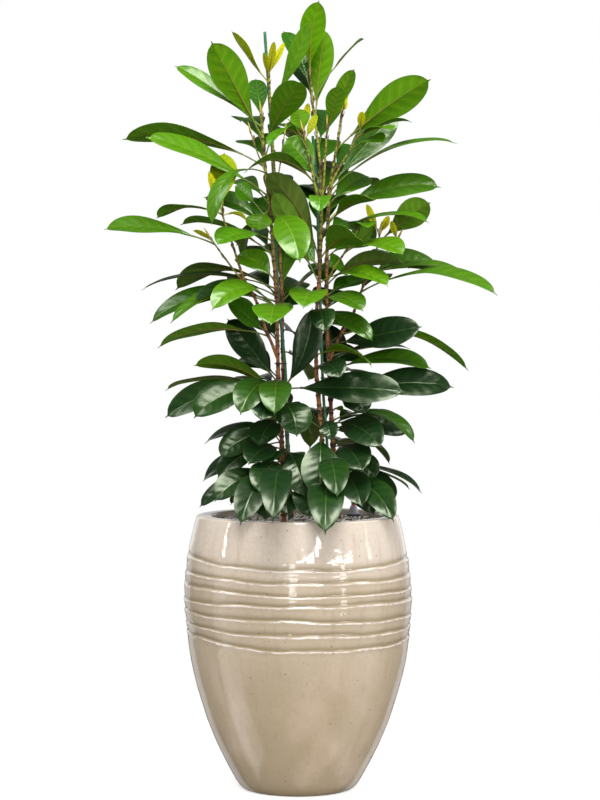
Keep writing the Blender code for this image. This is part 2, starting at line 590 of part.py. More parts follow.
def make_soil(stems, canes, gauge):
    """The mineral grit and the root ball in it, with a plain hole for each rod."""
    top = [(radius, SOIL_TOP) for radius in SOIL_RINGS]
    wall = [(LIP_INNER - GAP, SOIL_TOP)]
    wall += [(radius - GAP, up) for radius, up in inner_wall()]
    wall[-1] = (wall[-1][0], POT_FLOOR + GAP)
    soil = turned("substrate", top + wall + [(0.0, POT_FLOOR + GAP)], material("grit"))
    for vertex in soil.data.vertices:
        x, y, z = vertex.co
        if z > SOIL_TOP - GAP and math.hypot(x, y) < LIP_INNER - 2 * GAP:
            vertex.co.z += SOIL_RELIEF * math.sin(x * 137) * math.cos(y * 151 + x * 40)
    ball = turned("root_ball", ball_profile(), material("root"), SMALL_SIDES)
    pocket = [(radius + (GAP if radius else 0), up) for radius, up in ball_profile()]
    pocket[0] = (0.0, BALL_TOP + GAP)
    pocket[1] = (pocket[1][0], BALL_TOP + GAP)
    pocket[-1] = (0.0, pocket[-1][1] - GAP)
    pocket[-2] = (pocket[-2][0], pocket[-1][1])
    cutters = [turned("pocket", pocket, None, SMALL_SIDES)]
    cutters.append(widened(*gauge, SMALL_SIDES))
    for line, radius in stems:
        pit = line[0] - Vector((0, 0, STEM_PIT))
        cutters.append(widened([pit] + line[1:], radius))
    cutters += [widened(*cane) for cane in canes]
    cut(soil, cutters)
    cut(ball, [widened(*cane) for cane in canes])


def make_gauge():
    """The water gauge: a shaft down to the pot's floor, a collar and cone, a tube and a float."""
    x, y = GAUGE_AT
    body = turned("gauge_body", [
        (0.0, GAUGE_WELL), (GAUGE_BORE, GAUGE_WELL), (GAUGE_BORE, GAUGE_CONE_TOP),
        (GAUGE_TUBE + GAUGE_EDGE / 2, GAUGE_CONE_TOP), (GAUGE_COLLAR - GAUGE_EDGE, COLLAR_TOP),
        (GAUGE_COLLAR, COLLAR_TOP - GAUGE_EDGE), (GAUGE_COLLAR, COLLAR_FOOT),
        (GAUGE_SHAFT, COLLAR_FOOT), (GAUGE_SHAFT, GAUGE_FOOT), (0.0, GAUGE_FOOT)],
        material("gauge"), SMALL_SIDES)
    floor = GAUGE_CONE_TOP + GAP
    ceiling = GAUGE_TUBE_TOP - GAUGE_EDGE
    clear = turned("gauge_tube", [
        (0.0, ceiling), (GAUGE_BORE, ceiling), (GAUGE_BORE, floor), (GAUGE_TUBE, floor),
        (GAUGE_TUBE, ceiling), (GAUGE_TUBE - GAUGE_EDGE, GAUGE_TUBE_TOP),
        (0.0, GAUGE_TUBE_TOP)], material("clear"), SMALL_SIDES)
    float_foot = GAUGE_WELL + GAP
    mark = turned("gauge_float", [
        (0.0, FLOAT_TOP), (FLOAT_RADIUS, FLOAT_TOP), (FLOAT_RADIUS, float_foot),
        (0.0, float_foot)], material("float"), SMALL_SIDES)
    for piece in (body, clear, mark):
        for vertex in piece.data.vertices:
            vertex.co.x += x
            vertex.co.y += y


def make_tie(name, height, rods):
    """A thin wire loop drawn tight round the rods that it holds."""
    ring = []
    for line, radius in rods:
        middle = at_height(line, height)
        reach = radius + TIE_WIRE + GAP * 2
        for step in range(TIE_POINTS):
            angle = math.tau * step / TIE_POINTS
            ring.append(Vector((middle.x + reach * math.cos(angle),
                                middle.y + reach * math.sin(angle))))
    loop = [ring[i] for i in geometry.convex_hull_2d(ring)]
    curve = bpy.data.curves.new(name, "CURVE")
    curve.dimensions = "3D"
    curve.bevel_depth = TIE_WIRE
    curve.bevel_resolution = 1
    spline = curve.splines.new("POLY")
    spline.points.add(len(loop) - 1)
    spline.use_cyclic_u = True
    for slot, point in zip(spline.points, loop):
        slot.co = (point.x, point.y, height, 1)
    guide = bpy.data.objects.new(name + "_guide", curve)
    bpy.context.scene.collection.objects.link(guide)
    mesh = evaluated_mesh(guide)
    bpy.data.objects.remove(guide)
    return add_object(name, mesh, material("wire"))


def blade_share(t):
    """The blade's half width at t along it, as a share of the widest: obovate, with a drip tip."""
    round_part = math.sin(math.pi * min(t / 0.93, 1) ** 1.35)
    full = max(round_part, 0) ** (0.8 if t < 0.56 else 0.45)
    return max(full, 0.07) if t < 0.5 else max(full, 0.5 * (1 - t))


def leaf_frame(base, tip, leaf):
    """The leaf's middle line as a function of t, with the way its upper side faces."""
    chord = tip - base
    along = chord.normalized()
    rise = Vector((0, 0, 1)) - along * along.z
    rise = rise.normalized() if rise.length > 0.05 else Vector((0, -1, 0))
    turn = math.radians(leaf.face)
    face = Vector((0, -math.sin(turn), math.cos(turn)))
    face = (face - along * face.dot(along)).normalized()
    bend = base + chord * 0.5 + rise * (2 * leaf.arch * chord.length)

    def middle(t):
        return base * (1 - t) ** 2 + bend * (2 * t * (1 - t)) + tip * t ** 2

    def heading(t):
        return ((bend - base) * (1 - t) + (tip - bend) * t).normalized()

    return middle, heading, face


def leaf_mesh(base, tip, leaf, thickness, with_petiole=True):
    """A petiole and a folded blade, lofted through rings of six points."""
    middle, heading, face = leaf_frame(base, tip, leaf)
    rings = []

    def ring(t, half, thick, fold):
        along = heading(t)
        up = (face - along * face.dot(along)).normalized()
        side = along.cross(up)
        centre = middle(t)
        edge_lift = up * (half * math.sin(fold))
        reach = side * (half * math.cos(fold))
        top = up * (thick / 2)
        rings.append([centre - reach + edge_lift + top, centre + top,
                      centre + reach + edge_lift + top, centre + reach + edge_lift - top,
                      centre - top, centre - reach + edge_lift - top])

    if with_petiole:
        ring(0.0, PETIOLE_RADIUS, PETIOLE_RADIUS * 2, 0)
    plain = leaf.width < YOUNG_WIDTH or leaf.depth > FAR_DEPTH
    for station in YOUNG_STATIONS if plain else LEAF_STATIONS:
        t = leaf.petiole + (1 - leaf.petiole) * station
        half = max(LEAF_WIDEN * leaf.width / 2 * blade_share(station), PETIOLE_RADIUS)
        thick = max(thickness, PETIOLE_RADIUS * 1.6) if station == 0 else thickness
        ring(t, half, thick, 0 if station == 0 else LEAF_FOLD)
    build = bmesh.new()
    loops = [[build.verts.new(point) for point in points] for points in rings]
    if with_petiole:
        left, top, right = loops[0][5], loops[0][1], loops[0][3]
        loops[0] = [left, top, top, right, right, left]
        build.faces.new((left, top, right))
    else:
        build.faces.new(loops[0])
    end = build.verts.new(tip)
    for low, high in zip(loops, loops[1:]):
        for side in range(6):
            after = (side + 1) % 6
            a, b, c, d = low[side], low[after], high[after], high[side]
            if low[side] is low[after]:
                build.faces.new((a, c, d))
            elif side in (1, 4):
                build.faces.new((a, b, d))
                build.faces.new((b, c, d))
            else:
                build.faces.new((a, b, c))
                build.faces.new((a, c, d))
    for side in range(6):
        build.faces.new((loops[-1][side], loops[-1][(side + 1) % 6], end))
    bmesh.ops.delete(build, geom=[v for v in build.verts if not v.link_faces], context="VERTS")
    bmesh.ops.recalc_face_normals(build, faces=build.faces)
    mesh = bpy.data.meshes.new("leaf")
    build.to_mesh(mesh)
    build.free()
    return mesh


class Obstacle:
    """A placed surface that later blades keep clear of."""

    def __init__(self, mesh, node, stalk=False):
        points = [vertex.co for vertex in mesh.vertices]
        self.node = node
        self.stalk = stalk
        self.low = [min(point[axis] for point in points) for axis in range(3)]
        self.high = [max(point[axis] for point in points) for axis in range(3)]
        faces = [tuple(face.vertices) for face in mesh.polygons]
        self.tree = BVHTree.FromPolygons(points, faces)

    def near(self, other):
        return all(self.low[axis] < other.high[axis] and other.low[axis] < self.high[axis]
                   for axis in range(3))

    def crosses(self, other):
        return self.near(other) and bool(self.tree.overlap(other.tree))


# How a blade that meets another is bent clear: (depth, arch, face, raise) in order of preference.
SWINGS = [(0.0, 0.0, 0, 0.0)]
for reach in (0.012, 0.024, 0.036, 0.05, 0.065, 0.08, 0.1):
    SWINGS += [(-reach, 0.0, 0, 0.0), (reach, 0.0, 0, 0.0), (0.0, reach * 2, 0, 0.0),
               (-reach, 0.0, reach * 300, 0.0), (reach, 0.0, -reach * 300, 0.0),
               (-reach, reach, 0, reach / 4), (reach, reach, 0, -reach / 4)]


def place_leaf(leaf, line, node, placed):
    """Swings the leaf until it is clear: (base, tip, leaf), or None where no swing clears it."""
    best = None
    for depth, arch, face, lift in SWINGS:
        tried = leaf._replace(depth=leaf.depth + depth, arch=leaf.arch + arch,
                              face=leaf.face + face, up=leaf.up + lift)
        base = at_height(line, leaf.at)
        tip = drawn(tried.across, tried.up, tried.depth)
        blade = Obstacle(leaf_mesh(base, tip, tried, TEST_THICKNESS, False), node)
        stalk = Obstacle(leaf_mesh(base, tip, tried, TEST_THICKNESS), node, True)
        foreign = sum(stalk.crosses(other) for other in placed if other.node != node)
        own = sum(blade.crosses(other) for other in placed
                  if other.node == node and not other.stalk)
        if not foreign and (best is None or own < best[0]):
            best = (own, (base, tip, tried), blade, stalk)
        if best and best[0] == 0:
            break
    if best is None:
        return None
    placed += best[2:]
    return best[1]


def branch_line(branch, node_foot):
    line = smooth_line([drawn(*point) for point in branch.points], 1)
    if node_foot:
        line[0].z = STEM_FOOT
    return line


def branch_radii(branch, count):
    return [branch.foot + (branch.tip - branch.foot) * i / (count - 1) for i in range(count)]


def make_bud(line, radius):
    """The pointed sheath at a shoot's tip."""
    rise = (line[-1] - line[-2]).normalized()
    points = [line[-1] - rise * 0.004, line[-1] + rise * BUD_LENGTH * 0.3,
              line[-1] + rise * BUD_LENGTH]
    return tube("bud", points, [radius, BUD_RADIUS, 0.0004], None, 4)


def fuse(stem, pieces):
    """Joins the pieces to the stem in one closed body."""
    group = bpy.data.collections.new(stem.name + "_pieces")
    for piece in pieces:
        for owner in piece.users_collection:
            owner.objects.unlink(piece)
        group.objects.link(piece)
    bpy.context.scene.collection.children.link(group)
    join = stem.modifiers.new("join", "BOOLEAN")
    join.operation = "UNION"
    join.operand_type = "COLLECTION"
    join.collection = group
    join.solver = "MANIFOLD"
    stem.data = evaluated_mesh(stem, merge=False)
    stem.modifiers.clear()
    for piece in list(group.objects):
        bpy.data.objects.remove(piece)
    bpy.data.collections.remove(group)


def make_stems(obstacles):
    """Every leafy stem: its branches, buds and leaves, each leaf clear of what stands by it."""
    placed = list(obstacles)
    lines = {}
    pieces = {}
    firsts = {}
    for name, branch in BRANCHES.items():
        first = branch.node not in firsts
        line = branch_line(branch, first)
        lines[name] = line
        radii = branch_radii(branch, len(line))
        made = tube(name, line, radii, None)
        placed.append(Obstacle(made.data, branch.node))
        if first:
            firsts[branch.node] = made
            pieces[branch.node] = []
        else:
            pieces[branch.node].append(made)
        pieces[branch.node].append(make_bud(line, branch.tip))
    for table in (LEAVES, BACK_LEAVES):
        for name, rows in table.items():
            node = BRANCHES[name].node
            for row in rows:
                found = place_leaf(Leaf(*row), lines[name], node, placed)
                if found:
                    blade = leaf_mesh(*found, LEAF_THICKNESS)
                    pieces[node].append(add_object("leaf", blade, None))
    for node, stem in firsts.items():
        stem.name = node
        fuse(stem, pieces[node])
        stem.data.materials.clear()
        stem.data.materials.append(material("leaf"))


def main():
    clear_scene()
    make_planter()
    make_gauge()
    stems = {}
    for name, branch in BRANCHES.items():
        if branch.points[0][1] < SOIL_TOP:
            stems[name] = (branch_line(branch, True), branch.foot)
    canes = {}
    for name, points in CANES.items():
        line = smooth_line([drawn(*point) for point in points], 2)
        canes[name] = (line, CANE_RADIUS)
        tube(name, line, [CANE_RADIUS] * len(line), material("cane"))
    shaft = [Vector((*GAUGE_AT, GAUGE_FOOT - GAP)), Vector((*GAUGE_AT, COLLAR_FOOT))]
    round_reach = (GAUGE_SHAFT + GAP) / math.cos(math.pi / SMALL_SIDES)
    make_soil(stems.values(), canes.values(), (shaft, round_reach))
    rods = {**stems, **canes}
    for name, (height, held) in TIES.items():
        make_tie(name, height, [rods[rod] for rod in held])
    solid = [piece for piece in bpy.data.objects if piece.type == "MESH"]
    make_stems([Obstacle(piece.data, piece.name) for piece in solid])


main()
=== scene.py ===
"""Dresses the potted african fig: fine leaves, bark, glaze, grit, gauge, canes and ties.

Metres, +Z up, -Y to the front. Branches and leaves are drawn in a front elevation, the plane y = 0
as seen from EYE, and each point is moved along its line of sight to its depth.
"""

import itertools
import math
import random
from collections import namedtuple

import bmesh
import bpy
from bpy.props import FloatProperty, FloatVectorProperty, PointerProperty
from mathutils import Matrix, Vector, geometry
from mathutils.bvhtree import BVHTree


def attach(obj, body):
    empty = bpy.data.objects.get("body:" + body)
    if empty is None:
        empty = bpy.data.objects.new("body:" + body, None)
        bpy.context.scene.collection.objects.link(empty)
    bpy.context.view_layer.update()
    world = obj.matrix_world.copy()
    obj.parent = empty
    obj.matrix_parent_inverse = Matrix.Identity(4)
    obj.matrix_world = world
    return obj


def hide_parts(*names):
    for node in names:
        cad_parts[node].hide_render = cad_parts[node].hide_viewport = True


bl_info = {
    "name": "Potted african fig",
    "version": (1, 0, 0),
    "blender": (4, 5, 0),
    "location": "View3D > Sidebar > Fig",
    "description": "Builds a potted african fig in a glazed planter with wavy ridges",
    "category": "Add Mesh",
}

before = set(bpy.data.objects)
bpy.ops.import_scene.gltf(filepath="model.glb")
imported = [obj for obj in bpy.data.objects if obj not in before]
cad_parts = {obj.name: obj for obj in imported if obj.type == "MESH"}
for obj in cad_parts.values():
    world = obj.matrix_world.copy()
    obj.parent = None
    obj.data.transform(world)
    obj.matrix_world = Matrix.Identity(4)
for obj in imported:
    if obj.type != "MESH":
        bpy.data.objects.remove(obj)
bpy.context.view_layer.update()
BODY = "root"
SHARP_ANGLE = math.radians(42)

GAP = 0.0003
EYE = Vector((0.004, -4.4, 0.86))


def metres(*points):
    """Points given in millimetres."""
    return [tuple(value / 1000 for value in point) for point in points]


POT_HEIGHT = 0.52
POT_OUTLINE = [
    (0.0, 0.103), (0.012, 0.1165), (0.061, 0.1436), (0.107, 0.1646), (0.153, 0.181),
    (0.244, 0.2055), (0.335, 0.215), (0.381, 0.216), (0.442, 0.209), (0.52, 0.1935),
]
POT_WALL = 0.012
POT_FLOOR = 0.018
LIP_INNER = 0.1645
LIP_DEPTH = 0.035
INNER_ROWS = (0.42, 0.28, 0.12)

# The seven pressed ridges: mean height, and how far each leans sideways, back to front, and in a
# double wave round the pot.
Ridge = namedtuple("Ridge", "height side front double")
RIDGES = [
    Ridge(0.437, -0.0035, 0.0035, 0.0045),
    Ridge(0.409, -0.0025, 0.0005, 0.0015),
    Ridge(0.386, -0.0055, 0.0005, 0.0025),
    Ridge(0.364, 0.0015, -0.0005, -0.0015),
    Ridge(0.337, -0.0055, 0.0005, -0.0015),
    Ridge(0.312, -0.0035, -0.0005, 0.0005),
    Ridge(0.289, -0.0060, 0.0000, 0.0060),
]
RIDGE_FADE = 0.1
LEVEL_LIP = 0.5

SOIL_TOP = 0.503
SOIL_RELIEF = 0.0018
BALL_TOP = 0.418
STEM_FOOT = BALL_TOP + GAP

GAUGE_AT = (0.108, 0.095)
GAUGE_FOOT = 0.16
GAUGE_SHAFT = 0.009
GAUGE_COLLAR = 0.0125
COLLAR_FOOT = 0.507
GAUGE_CONE_TOP = 0.53
GAUGE_WELL = 0.514
GAUGE_TUBE = 0.0052
GAUGE_BORE = 0.0036
GAUGE_TUBE_TOP = 0.6
FLOAT_TOP = 0.542

CANE_RADIUS = 0.003
CANES = {
    "cane_left": metres(
        (-8, 300, 0), (-16, 510, 4), (-23, 777, 6), (-38, 950, 8), (-50, 1233, 32),
        (-63, 1437, 45)),
    "cane_right": metres(
        (58, 300, 0), (56, 510, 4), (55, 662, 6), (47, 777, 4), (36, 1127, 8), (28, 1240, 18)),
}

# Height of each tie, and the canes and stems that it goes round.
TIE_WIRE = 0.0008
TIES = {
    "tie_left": (0.808, ("cane_left", "left_front", "left_back")),
    "tie_right": (0.7185, ("cane_right", "right_front", "right_back")),
    "tie_top": (1.183, ("cane_right", "right_front", "right_back")),
}

# Each branch: the node that it is part of, its radius at foot and tip, and its points in the
# front elevation as (across, up, depth). A node's first branch stands in the soil.
Branch = namedtuple("Branch", "node foot tip points")
BRANCHES = {
    "left_front": Branch("stem_left_front", 0.0052, 0.0022, metres(
        (-25, 423, -35), (-27, 510, -33), (-29, 605, -28), (-32, 690, -22), (-37, 767, -18),
        (-39, 845, -16), (-40, 920, -14), (-45, 995, -10), (-51, 1080, -4), (-59, 1148, 0),
        (-64, 1205, 0), (-71, 1289, 0))),
    "left_bud": Branch("stem_left_front", 0.0018, 0.001, metres(
        (-61, 1170, 0), (-76, 1205, -6), (-84, 1228, -8), (-90, 1249, -10))),
    "left_side": Branch("stem_left_front", 0.0034, 0.0015, metres(
        (-39, 819, -16), (-50, 847, -22), (-61, 870, -30), (-70, 904, -34), (-86, 942, -38),
        (-101, 965, -40), (-112, 995, -44), (-127, 1043, -48), (-141, 1081, -50),
        (-147.5, 1108, -50))),
    "left_side_low": Branch("stem_left_front", 0.002, 0.0014, metres(
        (-95, 957, -39), (-116, 978, -34), (-129, 995, -30), (-144.5, 1016, -26),
        (-160, 1037, -24), (-169, 1051, -22))),
    "left_back": Branch("stem_left_back", 0.005, 0.002, metres(
        (-11, 423, 45), (-13, 510, 43), (-17, 605, 38), (-22, 690, 32), (-27.5, 767, 26),
        (-29.5, 845, 22), (-30.5, 920, 20), (-33, 995, 18), (-38, 1080, 18), (-44, 1157, 18),
        (-48.5, 1233, 16), (-56, 1366, 10))),
    "left_back_bud": Branch("stem_left_back", 0.0017, 0.001, metres(
        (-42, 1138, 18), (-34, 1185, 8), (-29.5, 1218, 4), (-25, 1246, 2))),
    "right_front": Branch("stem_right_front", 0.0054, 0.0019, metres(
        (63, 423, -35), (59, 510, -34), (54, 586, -30), (46.5, 653, -26), (41, 720, -22),
        (35, 786, -20), (34, 853, -18), (36, 920, -16), (41, 976, -14), (43, 1043, -12),
        (44.5, 1119, -10), (42, 1186, -8), (36, 1243, -4), (27.5, 1300, 0), (23.5, 1355, 0))),
    "right_left_shoot": Branch("stem_right_front", 0.0026, 0.0015, metres(
        (44, 1104, -10), (31.5, 1148, -18), (23, 1191, -22), (15, 1224, -24), (8.5, 1252, -24))),
    "right_mid_shoot": Branch("stem_right_front", 0.0024, 0.0015, metres(
        (44.7, 1113, -10), (49.5, 1157, -20), (51.5, 1200, -26), (54, 1233, -28), (55, 1264, -28))),
    "right_back": Branch("stem_right_back", 0.0052, 0.0022, metres(
        (82, 423, 50), (78, 510, 46), (72.5, 586, 40), (65.5, 662, 34), (62, 738, 28),
        (58, 815, 24), (55, 890, 22), (54, 957, 20), (55, 1024, 18), (57, 1077, 18),
        (58, 1129, 16), (67.5, 1186, 12), (76, 1233, 10), (84, 1287, 10))),
    "right_far_shoot": Branch("stem_right_back", 0.0024, 0.0014, metres(
        (57.7, 1113, 17), (66.5, 1157, 6), (84, 1189, -4), (99, 1214, -10), (116, 1245, -14),
        (121, 1264, -14))),
    "right_low_shoot": Branch("stem_right_back", 0.0022, 0.0014, metres(
        (54.2, 961, 20), (68.5, 990, 8), (85.5, 1014, -4), (101, 1037, -10), (108.5, 1054, -12))),
    "right_side": Branch("stem_right_back", 0.0032, 0.0015, metres(
        (58, 807, 24), (70.5, 843, 20), (85.5, 870, 16), (103, 896, 12), (118, 940, 6),
        (129, 969, 2), (142.5, 1001, 0), (152, 1033, 0), (156, 1060, 0))),
    "right_side_end": Branch("stem_right_back", 0.0018, 0.0013, metres(
        (141, 995.5, 0), (162, 1014, -8), (181, 1031, -12), (191, 1049, -12))),
}

# Each row of the leaf tables: how high its petiole leaves the branch, its tip as (across, up) in
# the front elevation and depth, and its width as it shows from the front, in millimetres. Then how
# far it arches over its straight line in hundredths of its length, and how far its upper side turns
# from the sky towards the front, in degrees. The last is the petiole in hundredths of the whole
# length. Every blade is widened by LEAF_WIDEN for the fold along its midrib.
Leaf = namedtuple("Leaf", "at across up depth width arch face petiole")
LEAVES = {
    "left_front": [
        (1235, -165, 1420, -20, 58, 0, -85), (1255, -235, 1375, 60, 36, 3, 35),
        (1265, -80, 1350, 90, 34, 0, 60), (1180, -335, 1235, 20, 60, 10, -25),
        (1125, -290, 1240, -70, 60, 6, 32), (1170, -165, 1070, -120, 34, 26, 10),
        (1050, -180, 1125, 50, 48, 12, 30), (1060, -120, 1145, -40, 34, 8, 60, 55),
        (1075, -100, 990, 70, 40, 40, 20), (1010, -225, 1075, 30, 56, 12, -12),
        (1040, -155, 1035, -120, 56, 12, 25), (1185, -95, 1230, 160, 60, 10, 50),
        (935, -200, 925, -80, 42, 18, 22), (915, -245, 885, -30, 55, 20, 20),
        (925, -285, 885, 30, 50, 14, 40), (950, -300, 950, 70, 48, 10, 6),
        (940, -235, 950, 110, 58, 18, -15), (915, -215, 910, 140, 55, 15, 10),
        (910, -165, 910, -130, 52, 25, 35), (770, -135, 895, 30, 52, 0, 75),
        (745, -200, 805, 0, 46, 14, -35), (780, -125, 810, 120, 65, 10, 45),
        (760, -255, 760, 60, 50, 8, -3), (750, -255, 705, 10, 60, 12, 45),
        (755, -200, 705, -70, 63, 14, 50), (765, -110, 710, -140, 56, 20, 40),
        (740, -135, 725, 130, 62, 8, 10), (690, -150, 630, -60, 52, 8, 50),
        (660, -155, 590, -40, 50, 10, 45), (645, -95, 615, -120, 52, 15, 40),
        (670, -180, 655, 80, 50, 12, 30), (640, -185, 585, 60, 50, 10, 40),
        (600, -145, 580, 40, 46, 30, -10), (590, -190, 535, 0, 48, 12, 35),
        (595, -110, 500, -190, 52, 18, 60), (575, -130, 540, 90, 34, 10, -10),
        (1218, 8, 1345, -130, 52, 5, -60), (1090, 4, 1000, -150, 58, 15, 60),
        (913, -52, 883, -170, 68, 12, 18), (770, -45, 710, -130, 54, 20, 30),
        (760, 204, 755, -80, 62, 2, 55), (752, 27, 915, -50, 47, -10, 80),
        (650, 12, 554, -100, 56, 15, 70), (632, -57, 618, -100, 50, 20, -10),
        (586, -63, 508, -180, 66, 20, 50), (567, -50, 567, -70, 34, 40, 30),
        (560, -48, 486, -210, 52, 18, 40), (735, -2, 668, -90, 62, 22, 40),
    ],
    "left_side": [
        (865, -135, 925, -50, 56, 3, 45), (860, -270, 840, -70, 56, 11, -20),
        (1090, -140, 1210, -30, 46, 2, -75), (1088, -170, 1175, -60, 24, 0, -70),
        (1086, -98, 1080, -40, 26, 20, -20), (1088, -270, 1085, 20, 45, 12, -5),
    ],
    "left_side_low": [
        (1034, -370, 1065, -30, 56, 7, 30), (1038, -200, 1062, -50, 22, 5, -30),
    ],
    "left_back": [
        (1340, -125, 1440, -10, 30, -2, -5), (1355, -45, 1420, -10, 22, 0, -80, 10),
        (1358, -25, 1418, 20, 20, 0, -80, 10), (1352, -65, 1400, 10, 16, 0, -80, 10),
        (1295, 25, 1460, -40, 32, -2, 55), (935, -20, 1077, 30, 50, 0, 60),
        (925, 75, 1010, 70, 45, 5, -10), (905, 10, 948, 130, 60, 5, 60),
    ],
    "right_front": [
        (1343, 40, 1497, 0, 43, 5, -85), (1268, 48, 1446, 50, 45, 0, -85),
        (1300, 125, 1425, 80, 28, 6, -20, 45), (1317, -28, 1438, 100, 35, 5, 20),
        (1310, 2, 1390, 130, 45, 0, 60), (1150, -23, 1237, 50, 55, 2, 55),
        (961, -48, 1151, -80, 40, -5, -65), (1000, -63, 1172, -30, 50, 8, -60),
        (1127, -105, 1170, -90, 54, 26, -15), (1005, 116, 1048, -130, 64, 12, -60),
        (1092, 40, 1094, -90, 36, 40, 30), (960, 173, 956, -110, 54, 15, 25),
        (930, 10, 915, -160, 62, 15, 40), (923, 124, 908, -120, 50, 15, 30),
        (906, 143, 852, -100, 36, 10, 50, 10), (824, 143, 802, -110, 40, 14, -30, 10),
        (685, -13, 725, -80, 30, 0, 60, 40), (700, 63, 662, -80, 32, 20, 60, 30),
        (678, 42, 552, -120, 64, 12, 75), (590, 22, 512, -150, 66, 20, 55),
        (560, 52, 476, -230, 60, 20, 55),
    ],
    "right_left_shoot": [
        (1214, -57, 1218, -100, 42, 35, -10), (1237, 0, 1292, 0, 34, 0, -70),
        (1243, 20, 1304, 30, 24, 0, -70), (1233, -20, 1273, 40, 22, 0, -40),
        (1230, 36, 1282, -40, 26, 0, 60), (1218, -28, 1262, 60, 48, 10, 30),
    ],
    "right_mid_shoot": [
        (1252, 107, 1368, -50, 28, 2, -50), (1237, 78, 1336, -80, 32, 0, -60),
    ],
    "right_back": [
        (1214, 253, 1348, -20, 58, 4, -75), (1279, 92, 1336, 10, 22, 0, -80, 20),
        (1275, 81, 1332, -10, 18, 0, -80, 20), (1283, 91, 1309, -20, 22, 0, -60, 20),
        (1142, 190, 1286, 60, 56, 2, 70), (1134, 304, 1230, -30, 48, 13, 15),
        (1077, 272, 1144, 0, 58, 12, 45), (1073, 145, 1121, -100, 50, 10, -10),
        (1081, 93, 1115, 30, 18, 0, -70, 50), (1043, 251, 1079, -70, 50, 13, 15),
        (957, 213, 990, -30, 60, 16, -25), (936, 129, 969, 70, 55, 8, 20),
        (843, 236, 879, -20, 57, 0, 65), (790, 255, 800, 30, 56, 12, 25),
        (887, 63, 788, 80, 50, 40, 60), (921, 105, 917, 150, 50, 10, 30),
        (693, 158, 649, -100, 58, 10, 65), (647, 124, 603, -110, 58, 12, 60),
        (681, 213, 678, 50, 58, 10, 50), (697, 225, 657, -20, 46, 22, 10),
        (712, 84, 731, 30, 26, 10, -40, 30), (655, 177, 617, 50, 40, 20, -10),
        (609, 238, 562, 20, 46, 12, 5), (598, 215, 569, 80, 44, 12, 0),
        (579, 187, 546, 0, 50, 20, 40), (590, 122, 535, -120, 54, 15, 60),
        (564, 183, 507, -150, 50, 18, 55), (745, 298, 765, 30, 56, 6, 55),
        (820, 215, 838, 80, 50, 6, 5),
    ],
    "right_far_shoot": [
        (1233, 217, 1268, 40, 40, 10, -3), (1231, 179, 1252, -100, 45, 10, 5),
        (1210, 164, 1230, -70, 42, 12, 35), (1250, 122, 1287, -20, 24, 0, -50, 10),
    ],
    "right_low_shoot": [
        (1047, 135, 1066, -90, 36, 20, 15), (1024, 147, 1070, 40, 50, 0, -50),
        (1018, 202, 1016, -110, 52, 14, 25),
    ],
    "right_side": [
        (965, 274, 988, 70, 62, 16, 40), (973, 339, 963, 10, 55, 14, 15),
        (944, 383, 942, -50, 56, 14, 15), (864, 328, 796, 20, 40, 14, -15),
        (1037, 252, 1115, -40, 50, 3, -70), (1051, 130, 1112, 0, 22, 0, -80, 20),
        (1052, 173, 1089, 10, 22, 0, -80, 20),
    ],
    "right_side_end": [
        (1043, 177, 1080, -30, 20, 0, -60, 10),
    ],
}
# Leaves on the far side, which the front view hides.
BACK_LEAVES = {
    "left_front": [
        (1214, -110, 1270, 220, 56, 10, 20), (1110, -145, 1145, 200, 56, 10, 20),
        (1000, -118, 1037, 220, 56, 14, 20), (932, -126, 960, 220, 58, 12, 20),
        (754, -114, 742, 230, 60, 14, 20), (653, -92, 640, 220, 56, 14, 20),
        (585, -110, 567, 220, 50, 12, 20), (850, -120, 862, 170, 56, 12, 20),
    ],
    "left_back": [
        (1052, -78, 1125, 180, 54, 8, 20), (743, -50, 690, 240, 60, 14, 20),
        (606, -15, 606, 250, 56, 14, 20), (1271, -15, 1310, 220, 54, 6, 20),
        (715, 30, 668, 120, 58, 14, 30), (630, 20, 575, 130, 60, 14, 35),
        (830, 22, 775, 120, 58, 14, 35), (560, 12, 530, 120, 54, 12, 30),
    ],
    "right_front": [
        (1214, 60, 1290, 200, 52, 6, 20), (1119, 4, 1119, 230, 56, 10, 20),
        (1024, 60, 1052, 230, 58, 10, 20), (748, 92, 731, 190, 56, 14, 20),
        (662, 22, 643, 240, 58, 14, 20),
    ],
    "right_back": [
        (1119, 146, 1148, 230, 56, 10, 20), (1043, 140, 1033, 240, 58, 12, 20),
        (872, 118, 862, 250, 60, 12, 20), (843, 165, 837, 200, 58, 12, 20),
        (777, 137, 767, 250, 60, 14, 20), (681, 146, 681, 230, 58, 14, 20),
        (643, 103, 628, 240, 56, 14, 20), (586, 140, 567, 220, 52, 14, 20),
    ],
    "right_side": [
        (986, 194, 1001, 200, 54, 12, 20), (929, 165, 965, 230, 54, 12, 20),
    ],
}
LEAF_STATIONS = (0.0, 0.34, 0.66, 0.88)
YOUNG_STATIONS = (0.0, 0.42, 0.84)
YOUNG_WIDTH = 0.047
FAR_DEPTH = 0.12
LEAF_WIDEN = 1.15
LEAF_FOLD = math.radians(13)
PETIOLE_RADIUS = 0.0015
TEST_THICKNESS = 0.0036
BUD_LENGTH = 0.022
BUD_RADIUS = 0.0019

# The fine pot: it is drawn at these heights up its foot, its body and its shoulder, and at these
# heights over and under each ridge's crest.
POT_SIDES = 288
POT_ROWS = [0.0008, 0.0035, 0.008, 0.014, 0.020,
            *(0.027 + 0.008 * step for step in range(31)),
            *(0.4535 + 0.0065 * step for step in range(9))]
RIDGE_REACH = 0.0055
RIDGE_ROWS = (-0.0110, -0.0080, -0.0055, -0.0035, -0.0020, -0.0010, -0.0004, 0.0, 0.0004, 0.0009,
              0.0014, 0.0020, 0.0026, 0.0036, 0.0050, 0.0068, 0.0088, 0.0110)
